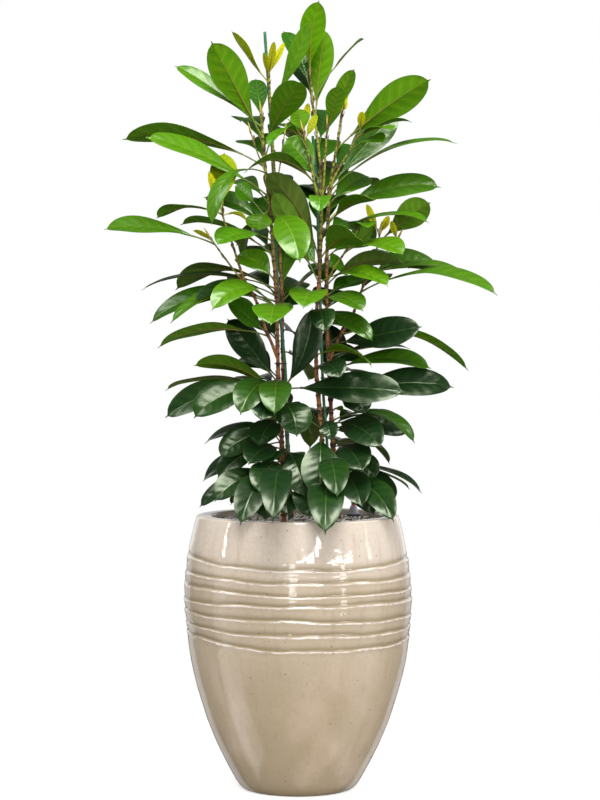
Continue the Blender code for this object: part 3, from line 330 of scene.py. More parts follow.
# The lip's rounding: how far in from its side, and how far down from its top.
LIP_ROUNDING = [(0.004, 0.0), (0.0024, 0.0006), (0.0011, 0.0018), (0.0003, 0.0036), (0.0, 0.006)]
CREST_FOOT = 0.0045
GROOVE_REACH = 0.0055
# Reach of the dark glaze in the groove above each crest: glaze that gathers there, deepened as
# painted shade of the recess.
POOL_SHADE_REACH = (0.0024, 0.0055)
# Where the painted highlight runs along each crest, and its reach below and above.
CREST_HIGHLIGHT_AT = 0.0003
CREST_HIGHLIGHT_REACH = (0.0008, 0.0007)
# Height over which the pot darkens towards its bottom.
FOOT_DARKENING_REACH = 0.022

GRIT_LAYERS = (0.0, 0.0042)
GRIT_CLEAR = 0.0035
GRIT_PACKING = 0.87
GRIT_SEED = 41

STEMS = ("stem_left_front", "stem_left_back", "stem_right_front", "stem_right_back")
STANDING = [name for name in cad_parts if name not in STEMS]
SHOOT_FOOT = 0.003
CROWDED_ABOVE = 0.95
SHEATHS_ABOVE = 0.6
SCAR_REACH = 0.0017
WOOD_STEP = 0.003
NUB_REACH = 0.0014

# The fine blades: the grid that each is bent from, and the ranges that its own bends come from.
TONE = "tone"
BLADE_UV = "blade"
BLADE_ACROSS = 14
BLADE_ALONG = 38
BLADE_CROWDING = 1.35
BLADE_END = 0.996
DRIP_FROM = 0.958
MIDRIB_SINK = 0.0005
MIDRIB_WIDTH = 0.0016
PUCKER_RISE = 0.0008
VEIN_PAIRS = 8
VEIN_LEAN = 0.14
HIGH_LEAN = (1.5, 1.7)
LOW_LEAN = (1.2, 1.42)
YOUNG_LEAN = 1.15
YOUNG_SHARE = 0.56
TWIST = (-6, 6)
WAVE = (0.03, 0.075)
HOOK = (0.01, 0.03)
RECURVE = (0.04, 0.12)
STALK_STEPS = 16
RIB_END = 0.84

# Leaf ages: dark below one height, fresh above another, and older and darker deep in the plant as
# painted shade.
OLD_BELOW = 0.82
FRESH_ABOVE = 1.04
LOW_AGE = 0.97
AGE_FALL = 0.5
LEAST_AGE = 0.38
YELLOW_WIDTH = 0.027
AGE_REACH = 0.03
OLD_AGE = 0.9
DEEP = 0.06
DEEP_SHADE_AGE = 0.22
# Tips of leaves whose age is known: across and up in millimetres, and the age, from 0 for the
# youngest to 100 for the oldest. A leaf that shows dark because it lies in shade behind others
# has an old, dark age here, which is painted shade.
AGES = [
    (-165, 1420, 37), (-235, 1375, 50), (-125, 1440, 20), (25, 1460, 42), (40, 1497, 33),
    (48, 1446, 35), (2, 1390, 80), (8, 1345, 40), (107, 1368, 40), (78, 1336, 42), (253, 1348, 38),
    (190, 1286, 70), (304, 1230, 52), (272, 1144, 62), (173, 956, 38), (116, 1048, 45),
    (-105, 1170, 55), (-48, 1151, 60), (-63, 1172, 95), (-335, 1235, 42), (-290, 1240, 42),
    (-165, 1070, 55), (-140, 1210, 22), (-180, 1125, 70), (-370, 1065, 55), (4, 1000, 46),
    (-200, 925, 85), (-245, 885, 50), (-165, 910, 42), (-270, 840, 55), (-135, 895, 100),
    (-200, 805, 50), (-200, 705, 84), (-255, 705, 85), (-110, 710, 78), (-45, 710, 72),
    (-52, 883, 46), (10, 915, 46), (27, 915, 100), (124, 908, 60), (236, 879, 97), (143, 852, 68),
    (255, 800, 62), (143, 802, 36), (204, 755, 100), (298, 765, 93), (225, 657, 74), (122, 535, 95),
    (328, 796, 38), (252, 1115, 50), (339, 963, 55), (383, 942, 50), (274, 988, 60),
    (202, 1016, 42), (251, 1079, 52), (213, 990, 75),
]

CAMERA_AT = (0.0038, -4.4, 0.86)
CAMERA_DOWN = 1.58
CAMERA_LENS = 104.07
FLOOR_REACH = 60
FLOOR_FADE = (0.16, 1.3)
FLOOR_GLOW = 0.42
SKY_LIGHT = 0.085
SKY_SEEN = 1.0
LIGHT_TARGET = Vector((0, 0, 0.6))
# The large boxes light the plant but are not mirrored in the glaze.
UNMIRRORED = ("left side", "right side", "front fill", "back fill")
# Each soft box: name, azimuth, elevation, distance, width, height, power.
LAMPS = [
    ("left strip", -82, 10.5, 3.1, 0.15, 0.60, 3.2),
    ("left strip low", -80, -28, 3.1, 1.35, 3.46, 13.5),
    ("left strip foot", -84, -28, 3.1, 0.50, 3.46, 2.6),
    ("right strip", 78, 9, 3.1, 0.12, 0.60, 1.3),
    ("right strip low", 78, -28, 3.1, 1.35, 3.46, 11.0),
    ("left side", -105, 16, 3.0, 1.4, 2.2, 47),
    ("right side", 108, 16, 3.0, 1.4, 2.2, 45),
    ("front fill", 6, 24, 5.0, 4.0, 2.2, 106),
    ("back fill", 175, 30, 5.0, 3.0, 2.0, 70),
    ("front sheen", 0, 52, 3.4, 1.8, 0.5, 44),
    ("back glow", 180, 7, 5.0, 6.0, 2.4, 23),
    ("left sheen", -95, 48, 3.0, 1.0, 0.8, 17),
    ("right sheen", 95, 48, 3.0, 1.0, 0.8, 17),
    ("left rim", -150, -12, 3.2, 1.2, 4.2, 9.0),
    ("right rim", 150, -12, 3.2, 1.2, 4.2, 9.0),
    ("pane 1", 2, 6.6, 3.15, 0.32, 0.14, 2.6),
    ("pane 2", 7, 9.2, 3.15, 0.24, 0.16, 2.2),
    ("pane 3", 12, 7.4, 3.15, 0.40, 0.40, 10.0),
    ("pane 4", 20, 11.6, 3.15, 0.24, 0.26, 5.2),
    ("pane 5", 33, 5.8, 3.15, 0.44, 0.16, 4.2),
    ("pane 6", 42, 7.2, 3.15, 0.38, 0.22, 5.0),
    ("pane 7", 51, 6.2, 3.15, 0.48, 0.22, 6.0),
    ("pane 8", -44, 13.5, 3.15, 0.34, 0.14, 0.5),
    ("pane 9", 37, 2.0, 3.2, 0.34, 0.12, 2.0),
    ("pane 10", 45, -8, 3.2, 0.28, 1.2, 9.5),
    ("pane 11", -14, 1.4, 3.2, 0.36, 0.12, 2.0),
    ("pane 12", -5, -8, 3.2, 0.32, 1.2, 11.0),
    ("overhead", 8, 68, 3.2, 1.5, 1.1, 106),
]

# Leaves that fill the middle of the plant, between the ones that the solid model has.
EXTRA_LEAVES = {
    "left_front": [
        (1195, -10, 1255, 140, 50, 6, 60), (1100, -30, 1170, 100, 52, 5, 60),
        (960, -120, 1000, 100, 50, 8, 50), (1100, -75, 1060, 60, 50, 14, 30),
        (1000, -85, 1010, 120, 52, 12, 40), (850, -75, 890, 100, 48, 10, 50),
        (720, -85, 760, 80, 50, 10, 50), (745, -70, 700, -150, 62, 12, 45),
        (700, -75, 650, -100, 52, 16, 40), (620, -75, 560, -130, 52, 16, 45),
        (600, -160, 545, -80, 50, 14, 45), (560, -20, 520, -160, 50, 16, 50),
    ],
    "left_back": [
        (980, -10, 1020, 120, 52, 8, 60), (870, 4, 850, 120, 52, 10, 55),
        (930, 4, 965, 150, 56, 6, 60), (1040, 15, 1080, 120, 54, 6, 60),
        (1060, -90, 1110, 120, 50, 8, 50), (700, -20, 730, 100, 50, 10, 60),
        (620, -55, 620, 130, 54, 12, 45),
    ],
    "right_front": [
        (1180, 62, 1235, 100, 46, 5, 55), (1080, 20, 1150, 120, 50, 5, 60),
        (1140, 10, 1225, 90, 54, 4, 65), (1120, 80, 1190, 80, 50, 6, 55),
        (1040, 50, 1120, 70, 50, 8, 50), (985, -20, 1045, 80, 52, 8, 55),
        (900, 50, 860, -100, 44, 20, 40), (800, 80, 780, -100, 46, 18, 45),
        (640, 85, 590, -100, 52, 16, 50), (620, 0, 585, -130, 50, 16, 45),
        (610, 75, 540, -160, 50, 16, 55),
    ],
    "right_back": [
        (1170, 120, 1215, 100, 48, 8, 45), (1060, 105, 1060, 90, 50, 10, 40),
        (1110, 135, 1165, 120, 52, 6, 50), (1010, 150, 1040, 100, 50, 10, 45),
        (950, 45, 1000, 120, 54, 6, 60), (990, 90, 990, 120, 52, 10, 40),
        (900, 60, 935, 140, 56, 6, 60), (1090, 70, 1130, 140, 56, 6, 60),
        (800, 120, 830, 120, 50, 10, 50), (880, 110, 870, 60, 50, 14, 30),
        (740, 130, 700, 40, 52, 14, 35), (680, 120, 640, 60, 52, 14, 35),
        (620, 150, 590, 60, 50, 14, 35), (570, 145, 520, -60, 50, 16, 45),
    ],
}


def drawn(across, up, depth):
    """The point at this depth that the front elevation shows at (across, up)."""
    nearer = (depth - EYE.y) / -EYE.y
    return Vector((EYE.x + (across - EYE.x) * nearer, depth, EYE.z + (up - EYE.z) * nearer))


def square(face, way):
    """The face's direction, made square to the way."""
    return (face - way * face.dot(way)).normalized()


def smooth_line(points, cuts):
    """Points on a Catmull-Rom curve through the given ones, with this many steps between each."""
    points = [Vector(p) for p in points]
    line = [points[0]]
    for i in range(len(points) - 1):
        before = points[i - 1] if i else points[0] * 2 - points[1]
        here = points[i]
        there = points[i + 1]
        after = points[i + 2] if i + 2 < len(points) else points[-1] * 2 - points[-2]
        for cut in range(1, cuts + 1):
            t = cut / cuts
            line.append(0.5 * (2 * here + (there - before) * t
                               + (2 * before - 5 * here + 4 * there - after) * t ** 2
                               + (3 * here - before - 3 * there + after) * t ** 3))
    return line


def at_height(line, height):
    """The point of a rising line at this height."""
    for low, high in zip(line, line[1:]):
        if low.z <= height <= high.z:
            return low.lerp(high, (height - low.z) / (high.z - low.z))
    return line[-1].copy() if height > line[-1].z else line[0].copy()


def leaf_of(at, across, up, depth, width, arch, face, petiole=17):
    """The leaf of a table's row, in metres and shares."""
    return Leaf(at / 1000, across / 1000, up / 1000, depth / 1000, width / 1000, arch / 100, face,
                petiole / 100)


def branch_line(branch, node_foot):
    line = smooth_line([drawn(*point) for point in branch.points], 1)
    if node_foot:
        line[0].z = STEM_FOOT
    return line


def cane_line(name, cuts):
    return smooth_line([drawn(*point) for point in CANES[name]], cuts)


def branch_radii(branch, count):
    return [branch.foot + (branch.tip - branch.foot) * i / (count - 1) for i in range(count)]


def new_piece(name, build, materials, nodes=()):
    """Makes the finished piece of a bmesh, and says what it rides on, replaces and is made of."""
    mesh = bpy.data.meshes.new(name)
    build.to_mesh(mesh)
    build.free()
    for finish in materials:
        mesh.materials.append(finish)
    mesh.shade_smooth()
    mesh.set_sharp_from_angle(angle=SHARP_ANGLE)
    piece = bpy.data.objects.new(name, mesh)
    bpy.context.scene.collection.objects.link(piece)
    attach(piece, BODY)
    if nodes:
        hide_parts(*nodes)
    return piece


def pour(build, part):
    """Adds the part's faces to the build, with their layers, and frees the part."""
    mesh = bpy.data.meshes.new("part")
    part.to_mesh(mesh)
    part.free()
    build.from_mesh(mesh)
    bpy.data.meshes.remove(mesh)


def sweep(points, radii, sides=12, tones=None):
    """A round rod: a disc whose face is extruded from point to point."""
    part = bmesh.new()
    tone = part.verts.layers.float_color.new(TONE)
    ring = bmesh.ops.create_circle(part, cap_ends=True, segments=sides, radius=1)["verts"]
    unit = [vertex.co.copy() for vertex in ring]
    cap = ring[0].link_faces[0]
    order = [ring.index(vertex) for vertex in cap.verts]
    turn = Matrix.Identity(3)
    last = Vector((0, 0, 1))
    start = list(cap.verts)
    for i, (point, radius) in enumerate(zip(points, radii)):
        before = points[max(i - 1, 0)]
        after = points[min(i + 1, len(points) - 1)]
        way = (after - before).normalized()
        turn = last.rotation_difference(way).to_matrix() @ turn
        last = way
        if i:
            cap = bmesh.ops.extrude_discrete_faces(part, faces=[cap])["faces"][0]
        for vertex, corner in zip(cap.verts, order):
            vertex.co = point + turn @ unit[corner] * radius
            vertex[tone] = tones[i] if tones else (0, 0, 0, 1)
    part.faces.new(reversed(start))
    bmesh.ops.recalc_face_normals(part, faces=part.faces)
    return part


def turned(profile, sides):
    """A profile of (radius, height) spun round the Z axis."""
    part = bmesh.new()
    corners = [part.verts.new((radius, 0, height)) for radius, height in profile]
    edges = [part.edges.new(pair) for pair in zip(corners, corners[1:])]
    bmesh.ops.spin(part, geom=corners + edges, cent=(0, 0, 0), axis=(0, 0, 1),
                   angle=math.tau, steps=sides, use_merge=True)
    bmesh.ops.remove_doubles(part, verts=part.verts, dist=1e-5)
    bmesh.ops.recalc_face_normals(part, faces=part.faces)
    return part


# Guides: the plain leaves and rods that the bending rule tests, as in the solid model

def guide_rod(points, radii, sides=6):
    """A plain rod's mesh, made by bevelling a curve."""
    curve = bpy.data.curves.new("guide", "CURVE")
    curve.dimensions = "3D"
    curve.bevel_depth = 1
    curve.bevel_resolution = sides // 2 - 2
    curve.use_fill_caps = True
    spline = curve.splines.new("POLY")
    spline.points.add(len(points) - 1)
    for slot, point, radius in zip(spline.points, points, radii):
        slot.co = (*point, 1)
        slot.radius = radius
    guide = bpy.data.objects.new("guide", curve)
    bpy.context.scene.collection.objects.link(guide)
    bpy.context.view_layer.update()
    graph = bpy.context.evaluated_depsgraph_get()
    mesh = bpy.data.meshes.new_from_object(guide.evaluated_get(graph))
    bpy.data.objects.remove(guide)
    bpy.data.curves.remove(curve)
    return mesh


def guide_share(t):
    """A guide blade's half width at t along it, as a share of the widest."""
    round_part = math.sin(math.pi * min(t / 0.93, 1) ** 1.35)
    full = max(round_part, 0) ** (0.8 if t < 0.56 else 0.45)
    return max(full, 0.07) if t < 0.5 else max(full, 0.5 * (1 - t))


def blade_share(t, lean):
    """The fine obovate outline. The higher the lean, the nearer the tip is the widest place."""
    round_part = max(math.sin(math.pi * min(t / DRIP_FROM, 1) ** lean), 0)
    if t < DRIP_FROM * 0.5 ** (1 / lean):
        return max(round_part ** 0.8, 0.07)
    drip = 1.15 * (1 - t) + 0.012
    return (round_part ** (3 * 0.47) + min(drip, 0.3) ** 3) ** (1 / 3)


def leaf_frame(base, tip, leaf):
    """The leaf's middle line and heading as functions of t, and the way its upper side faces."""
    chord = tip - base
    along = chord.normalized()
    rise = Vector((0, 0, 1)) - along * along.z
    rise = rise.normalized() if rise.length > 0.05 else Vector((0, -1, 0))
    turn = math.radians(leaf.face)
    face = square(Vector((0, -math.sin(turn), math.cos(turn))), along)
    bend = base + chord * 0.5 + rise * (2 * leaf.arch * chord.length)

    def middle(t):
        return base * (1 - t) ** 2 + bend * (2 * t * (1 - t)) + tip * t ** 2

    def heading(t):
        return ((bend - base) * (1 - t) + (tip - bend) * t).normalized()

    return middle, heading, face


def guide_leaf(base, tip, leaf, with_petiole=True):
    """The thick plain leaf that the bending rule tests: rings of six points and their faces."""
    middle, heading, face = leaf_frame(base, tip, leaf)
    rings = []

    def ring(t, half, thick, fold):
        along = heading(t)
        up = square(face, along)
        side = along.cross(up)
        centre = middle(t)
        edge_lift = up * (half * math.sin(fold))
        reach = side * (half * math.cos(fold))
        top = up * (thick / 2)
        rings.append([centre - reach + edge_lift + top, centre + top,
                      centre + reach + edge_lift + top, centre + reach + edge_lift - top,
                      centre - top, centre - reach + edge_lift - top])

    if with_petiole:
        ring(0.0, PETIOLE_RADIUS, PETIOLE_RADIUS * 2, 0)
    plain = leaf.width < YOUNG_WIDTH or leaf.depth > FAR_DEPTH
    for station in YOUNG_STATIONS if plain else LEAF_STATIONS:
        t = leaf.petiole + (1 - leaf.petiole) * station
        half = max(LEAF_WIDEN * leaf.width / 2 * guide_share(station), PETIOLE_RADIUS)
        thick = max(TEST_THICKNESS, PETIOLE_RADIUS * 1.6) if station == 0 else TEST_THICKNESS
        ring(t, half, thick, 0 if station == 0 else LEAF_FOLD)
    points = [point for one in rings for point in one] + [tip]
    rows = [list(range(6 * row, 6 * row + 6)) for row in range(len(rings))]
    faces = []
    if with_petiole:
        left, top, right = 5, 1, 3
        rows[0] = [left, top, top, right, right, left]
        faces.append((left, top, right))
    else:
        faces.append(tuple(rows[0]))
    for low, high in zip(rows, rows[1:]):
        for side in range(6):
            after = (side + 1) % 6
            a, b, c, d = low[side], low[after], high[after], high[side]
            if a == b:
                faces.append((a, c, d))
            elif side in (1, 4):
                faces += [(a, b, d), (b, c, d)]
            else:
                faces += [(a, b, c), (a, c, d)]
    faces += [(rows[-1][side], rows[-1][(side + 1) % 6], len(points) - 1) for side in range(6)]
    return points, faces


class Obstacle:
    """A placed surface that later blades keep clear of."""

    def __init__(self, points, faces, node, stalk=False):
        self.node = node
        self.stalk = stalk
        self.low = [min(point[axis] for point in points) for axis in range(3)]
        self.high = [max(point[axis] for point in points) for axis in range(3)]
        self.tree = BVHTree.FromPolygons(points, faces)

    def near(self, other):
        return all(self.low[axis] < other.high[axis] and other.low[axis] < self.high[axis]
                   for axis in range(3))

    def crosses(self, other):
        return self.near(other) and bool(self.tree.overlap(other.tree))


def mesh_obstacle(mesh, node):
    points = [vertex.co.copy() for vertex in mesh.vertices]
    return Obstacle(points, [tuple(face.vertices) for face in mesh.polygons], node)


# How a blade that meets another is bent clear: (depth, arch, face, raise) in order of preference.
SWINGS = [(0.0, 0.0, 0, 0.0)]
for reach in (0.012, 0.024, 0.036, 0.05, 0.065, 0.08, 0.1):
    SWINGS += [(-reach, 0.0, 0, 0.0), (reach, 0.0, 0, 0.0), (0.0, reach * 2, 0, 0.0),
               (-reach, 0.0, reach * 300, 0.0), (reach, 0.0, -reach * 300, 0.0),
               (-reach, reach, 0, reach / 4), (reach, reach, 0, -reach / 4)]


def place_leaf(leaf, line, node, placed):
    """The leaf swung until it is clear, as (base, tip, leaf). None where it can't be cleared."""
    best = None
    for depth, arch, face, lift in SWINGS:
        tried = leaf._replace(depth=leaf.depth + depth, arch=leaf.arch + arch,
                              face=leaf.face + face, up=leaf.up + lift)
        base = at_height(line, leaf.at)
        tip = drawn(tried.across, tried.up, tried.depth)
        blade = Obstacle(*guide_leaf(base, tip, tried, False), node)
        stalk = Obstacle(*guide_leaf(base, tip, tried), node, True)
        foreign = sum(stalk.crosses(other) for other in placed if other.node != node)
        own = sum(blade.crosses(other) for other in placed
                  if other.node == node and not other.stalk)
        if not foreign and (best is None or own < best[0]):
            best = (own, (base, tip, tried), blade, stalk)
        if best and best[0] == 0:
            break
    if best is None:
        return None
    placed += best[2:]
    return best[1]


GROWN = {}


def grown():
    """The branches' lines and every leaf's final place, worked out once."""
    if GROWN:
        return GROWN
    placed = [mesh_obstacle(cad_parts[name].data, name) for name in STANDING]
    lines = {}
    for name, branch in BRANCHES.items():
        first = branch.points[0][1] < SOIL_TOP
        lines[name] = branch_line(branch, first)
        radii = branch_radii(branch, len(lines[name]))
        placed.append(mesh_obstacle(guide_rod(lines[name], radii), branch.node))
    leaves = {name: [] for name in BRANCHES}
    for table in (LEAVES, BACK_LEAVES, EXTRA_LEAVES):
        for name, rows in table.items():
            for row in rows:
                found = place_leaf(leaf_of(*row), lines[name], BRANCHES[name].node, placed)
                if found:
                    leaves[name].append(found)
    GROWN["lines"] = lines
    GROWN["leaves"] = leaves
    return GROWN


def leaf_age(leaf, dice):
    """(age, light) of a leaf: 0 is a yellow new one, and 1 the darkest old one, low on a stem.
    Light is how lit the leaf is painted: high gives its upper side a painted sheen, low darkens its
    underside as painted shade.
    """
    for across, up, age in AGES:
        if abs(leaf.across - across / 1000) < 1e-6 and abs(leaf.up - up / 1000) < AGE_REACH:
            age /= 100
            # Old leaves of the list are painted as shaded, the others as lit.
            return age, 0.9 if age < OLD_AGE else 0.1
    # How lit the leaf is painted, at random.
    light = dice.random()
    if leaf.width < YELLOW_WIDTH:
        return (dice.uniform(0.02, 0.12) if leaf.up > FRESH_ABOVE else 0.3), light
    height = min(max((leaf.up - OLD_BELOW) / (FRESH_ABOVE - OLD_BELOW), 0), 1)
    age = max(LOW_AGE - AGE_FALL * height + dice.uniform(-0.12 - 0.24 * height, 0.03), LEAST_AGE)
    # Leaves deep in the plant are aged darker as painted shade.
    return min(age + (DEEP_SHADE_AGE if leaf.depth > DEEP else 0), 1), light


def blade(spot, tone, dice, thickness, cells=(BLADE_ACROSS, BLADE_ALONG)):
    """One leaf blade: a flat grid given its outline and thickness, then bent to its place."""
    base, tip, leaf = spot
    middle, heading, face = leaf_frame(base, tip, leaf)
    length = (tip - base).length * (1 - leaf.petiole)
    young = leaf.width < YELLOW_WIDTH
    half = LEAF_WIDEN * leaf.width / 2 * (YOUNG_SHARE if young else 1)
    twist = math.radians(dice.uniform(*TWIST))
    lean = dice.uniform(*(HIGH_LEAN if leaf.up > FRESH_ABOVE else LOW_LEAN))
    lean = YOUNG_LEAN if young else lean
    wave = dice.uniform(*WAVE)
    phase = dice.uniform(0, math.tau)
    hook = dice.uniform(*HOOK) * length
    recurve = dice.uniform(*RECURVE)
    flat = bmesh.new()
    bmesh.ops.create_grid(flat, x_segments=cells[0], y_segments=cells[1], size=1)
    across = flat.verts.layers.float.new("across")
    along = flat.verts.layers.float.new("along")
    mark = flat.verts.layers.float_color.new(TONE)
    for vertex in flat.verts:
        share = math.copysign(abs(vertex.co.x) ** BLADE_CROWDING, vertex.co.x)
        station = 1 - (1 - (vertex.co.y + 1) / 2) ** BLADE_CROWDING
        vertex[across] = share
        vertex[along] = station
        vertex[mark] = tone
        vertex.co = (share * half * blade_share(station, lean), station * length, 0)
    bmesh.ops.recalc_face_normals(flat, faces=flat.faces)
    if flat.faces[:][0].normal.z < 0:
        bmesh.ops.reverse_faces(flat, faces=flat.faces)
    bmesh.ops.solidify(flat, geom=flat.faces, thickness=thickness)
    bmesh.ops.recalc_face_normals(flat, faces=flat.faces)
    uv = flat.loops.layers.uv.new(BLADE_UV)
    for one in flat.faces:
        one.material_index = 1 if one.normal.z < -0.5 else 0
        for loop in one.loops:
            loop[uv].uv = (loop.vert[across] / 2 + 0.5, loop.vert[along])
    lowest = min(vertex.co.z for vertex in flat.verts)
    for vertex in flat.verts:
        share = vertex[across]
        station = vertex[along]
        reach = share * half * blade_share(station, lean)
        spread = abs(reach)
        fullness = math.sin(math.pi * min(max(station, 0), 1)) ** 0.5
        pucker = math.cos(math.tau * VEIN_PAIRS * (station - VEIN_LEAN * abs(share)))
        lift = -PUCKER_RISE * fullness * pucker * (1 - abs(share)) * min(abs(share) * 4, 1)
        lift += wave * half * share ** 2 * fullness * math.sin(
            math.tau * 1.4 * station + phase + (1.1 if share > 0 else 0))
        lift -= recurve * half * share ** 4 * fullness
        lift -= MIDRIB_SINK * math.exp(-(reach / MIDRIB_WIDTH) ** 2) * (1 - station)
        lift -= hook * max(station - 0.8, 0) ** 2 * 25 * (1 if face.z >= 0 else -1)
        t = leaf.petiole + (1 - leaf.petiole) * station * BLADE_END
        way = heading(t)
        up = square(face, way)
        side = way.cross(up)
        turn = twist * station
        side, up = (side * math.cos(turn) + up * math.sin(turn),
                    up * math.cos(turn) - side * math.sin(turn))
        height = vertex.co.z - lowest - thickness / 2
        vertex.co = (middle(t) + side * (reach * math.cos(LEAF_FOLD))
                     + up * (spread * math.sin(LEAF_FOLD) + lift + height))
    return flat


def stalk(spot, age, shade):
    """The petiole, which runs on under the blade as its raised midrib."""
    base, tip, leaf = spot
    middle, heading, face = leaf_frame(base, tip, leaf)
    points = []
    radii = []
    tones = []
    thick = PETIOLE_RADIUS * min(1.0, 0.6 + leaf.width * 8)
    for step in range(STALK_STEPS + 1):
        t = RIB_END * step / STALK_STEPS
        past = max(t - leaf.petiole, 0) / (RIB_END - leaf.petiole)
        radius = thick * (1 + 0.5 * max(1 - t / 0.05, 0)) * (1 - 0.82 * past)
        way = heading(t)
        up = square(face, way)
        points.append(middle(t) - up * (radius * 0.9 + MIDRIB_SINK * (1 - past)) * min(past * 9, 1))
        radii.append(radius)
        tones.append((age, shade, min(past * 8, 1), 1))
    return sweep(points, radii, 8, tones)


def sheath(foot, way, out, length, dice):
    """A papery bud sheath: a small folded lance that stands out from the stem."""
    tip = foot + way * length + out * length * dice.uniform(0.05, 0.35)
    side = Leaf(0, 0, 0, 0, length * dice.uniform(0.36, 0.5), -0.08, 0, 0.02)
    return (foot, tip, side)


# Properties: the sizes and colours that a user would change

def size(name, description, default):
    return FloatProperty(name=name, description=description, default=default, min=0,
                         unit="LENGTH", precision=5)


def tint(name, description, default):
    return FloatVectorProperty(name=name, description=description, default=default, size=3,
                               min=0, max=1, subtype="COLOR")


class FigSizes(bpy.types.PropertyGroup):
    """Sizes of the fine shapes, in metres."""
    crest_rise: size("Crest rise", "How far each pressed crest stands out of the pot", 0.0013)
    groove_depth: size("Groove depth", "How deep the pot is pressed in above a crest", 0.0013)
    crest_width: size("Crest width", "Height from a crest to the groove above it", 0.0044)
    grain: size("Grain size", "Mean half width of a grain of grit", 0.0024)
    grain_spacing: size("Grain spacing", "Distance between grains of grit", 0.0056)
    blade_thickness: size("Blade thickness", "Thickness of a leaf blade", 0.0005)
    node_spacing: size("Node spacing", "Distance between leaf scars on a stem", 0.017)
    nub_spacing: size("Nub spacing", "Distance between the nubs on a cane", 0.018)


class FigColours(bpy.types.PropertyGroup):
    """Colours of the finishes."""
    glaze_high: tint("Upper glaze", "Greyish beige of the pot's shoulder", (0.48, 0.412, 0.345))
    glaze_band: tint("Ridged glaze", "Taupe of the bands between the ridges", (0.382, 0.312, 0.225))
    glaze_low: tint("Lower glaze", "Khaki beige of the pot's foot", (0.285, 0.220, 0.140))
    glaze_warm: tint("Warm glaze", "Pinker clouds in the glaze", (0.47, 0.370, 0.30))
    # Dark glaze for runs and clouds, also laid into each groove as gathered glaze deepened as
    # painted shade, and towards the foot.
    glaze_pooled_and_shade: tint("Groove", "Where the glaze pools above a crest", (0.16, 0.118, 0.055))
    # Painted highlight along each crest.
    glaze_crest_highlight: tint("Crest", "Where the glaze is thin on a crest", (0.66, 0.60, 0.61))
    glaze_speck: tint("Specks", "Dark specks in the glaze", (0.09, 0.055, 0.035))
    leaf_new: tint("New leaf", "Leaves that have just opened", (0.52, 0.48, 0.010))
    leaf_fresh: tint("Fresh leaf", "Young leaves at the top", (0.070, 0.212, 0.0006))
    leaf_grown: tint("Grown leaf", "Leaves half way up", (0.024, 0.104, 0.001))
    leaf_old: tint("Old leaf", "Dark leaves low on the stems", (0.006, 0.024, 0.0058))
    under_fresh: tint("Fresh underside", "Undersides of young leaves", (0.054, 0.156, 0.0003))
    under_old: tint("Old underside", "Undersides of old leaves", (0.085, 0.13, 0.028))
    rib: tint("Midrib", "Pale midrib of a leaf", (0.30, 0.42, 0.03))
    bark: tint("Bark", "Brown bark of the stems", (0.20, 0.078, 0.021))
    shoot: tint("Shoot", "Green skin of the young shoots", (0.26, 0.29, 0.018))
    sheath: tint("Sheath", "Papery bud sheaths", (0.085, 0.034, 0.014))
    cane: tint("Cane", "Green coat of the canes", (0.02, 0.12, 0.045))
    gauge: tint("Gauge", "Lavender grey of the gauge's cone", (0.42, 0.40, 0.47))
    floor: tint("Floor", "Pale studio floor", (0.86, 0.86, 0.86))


# Materials

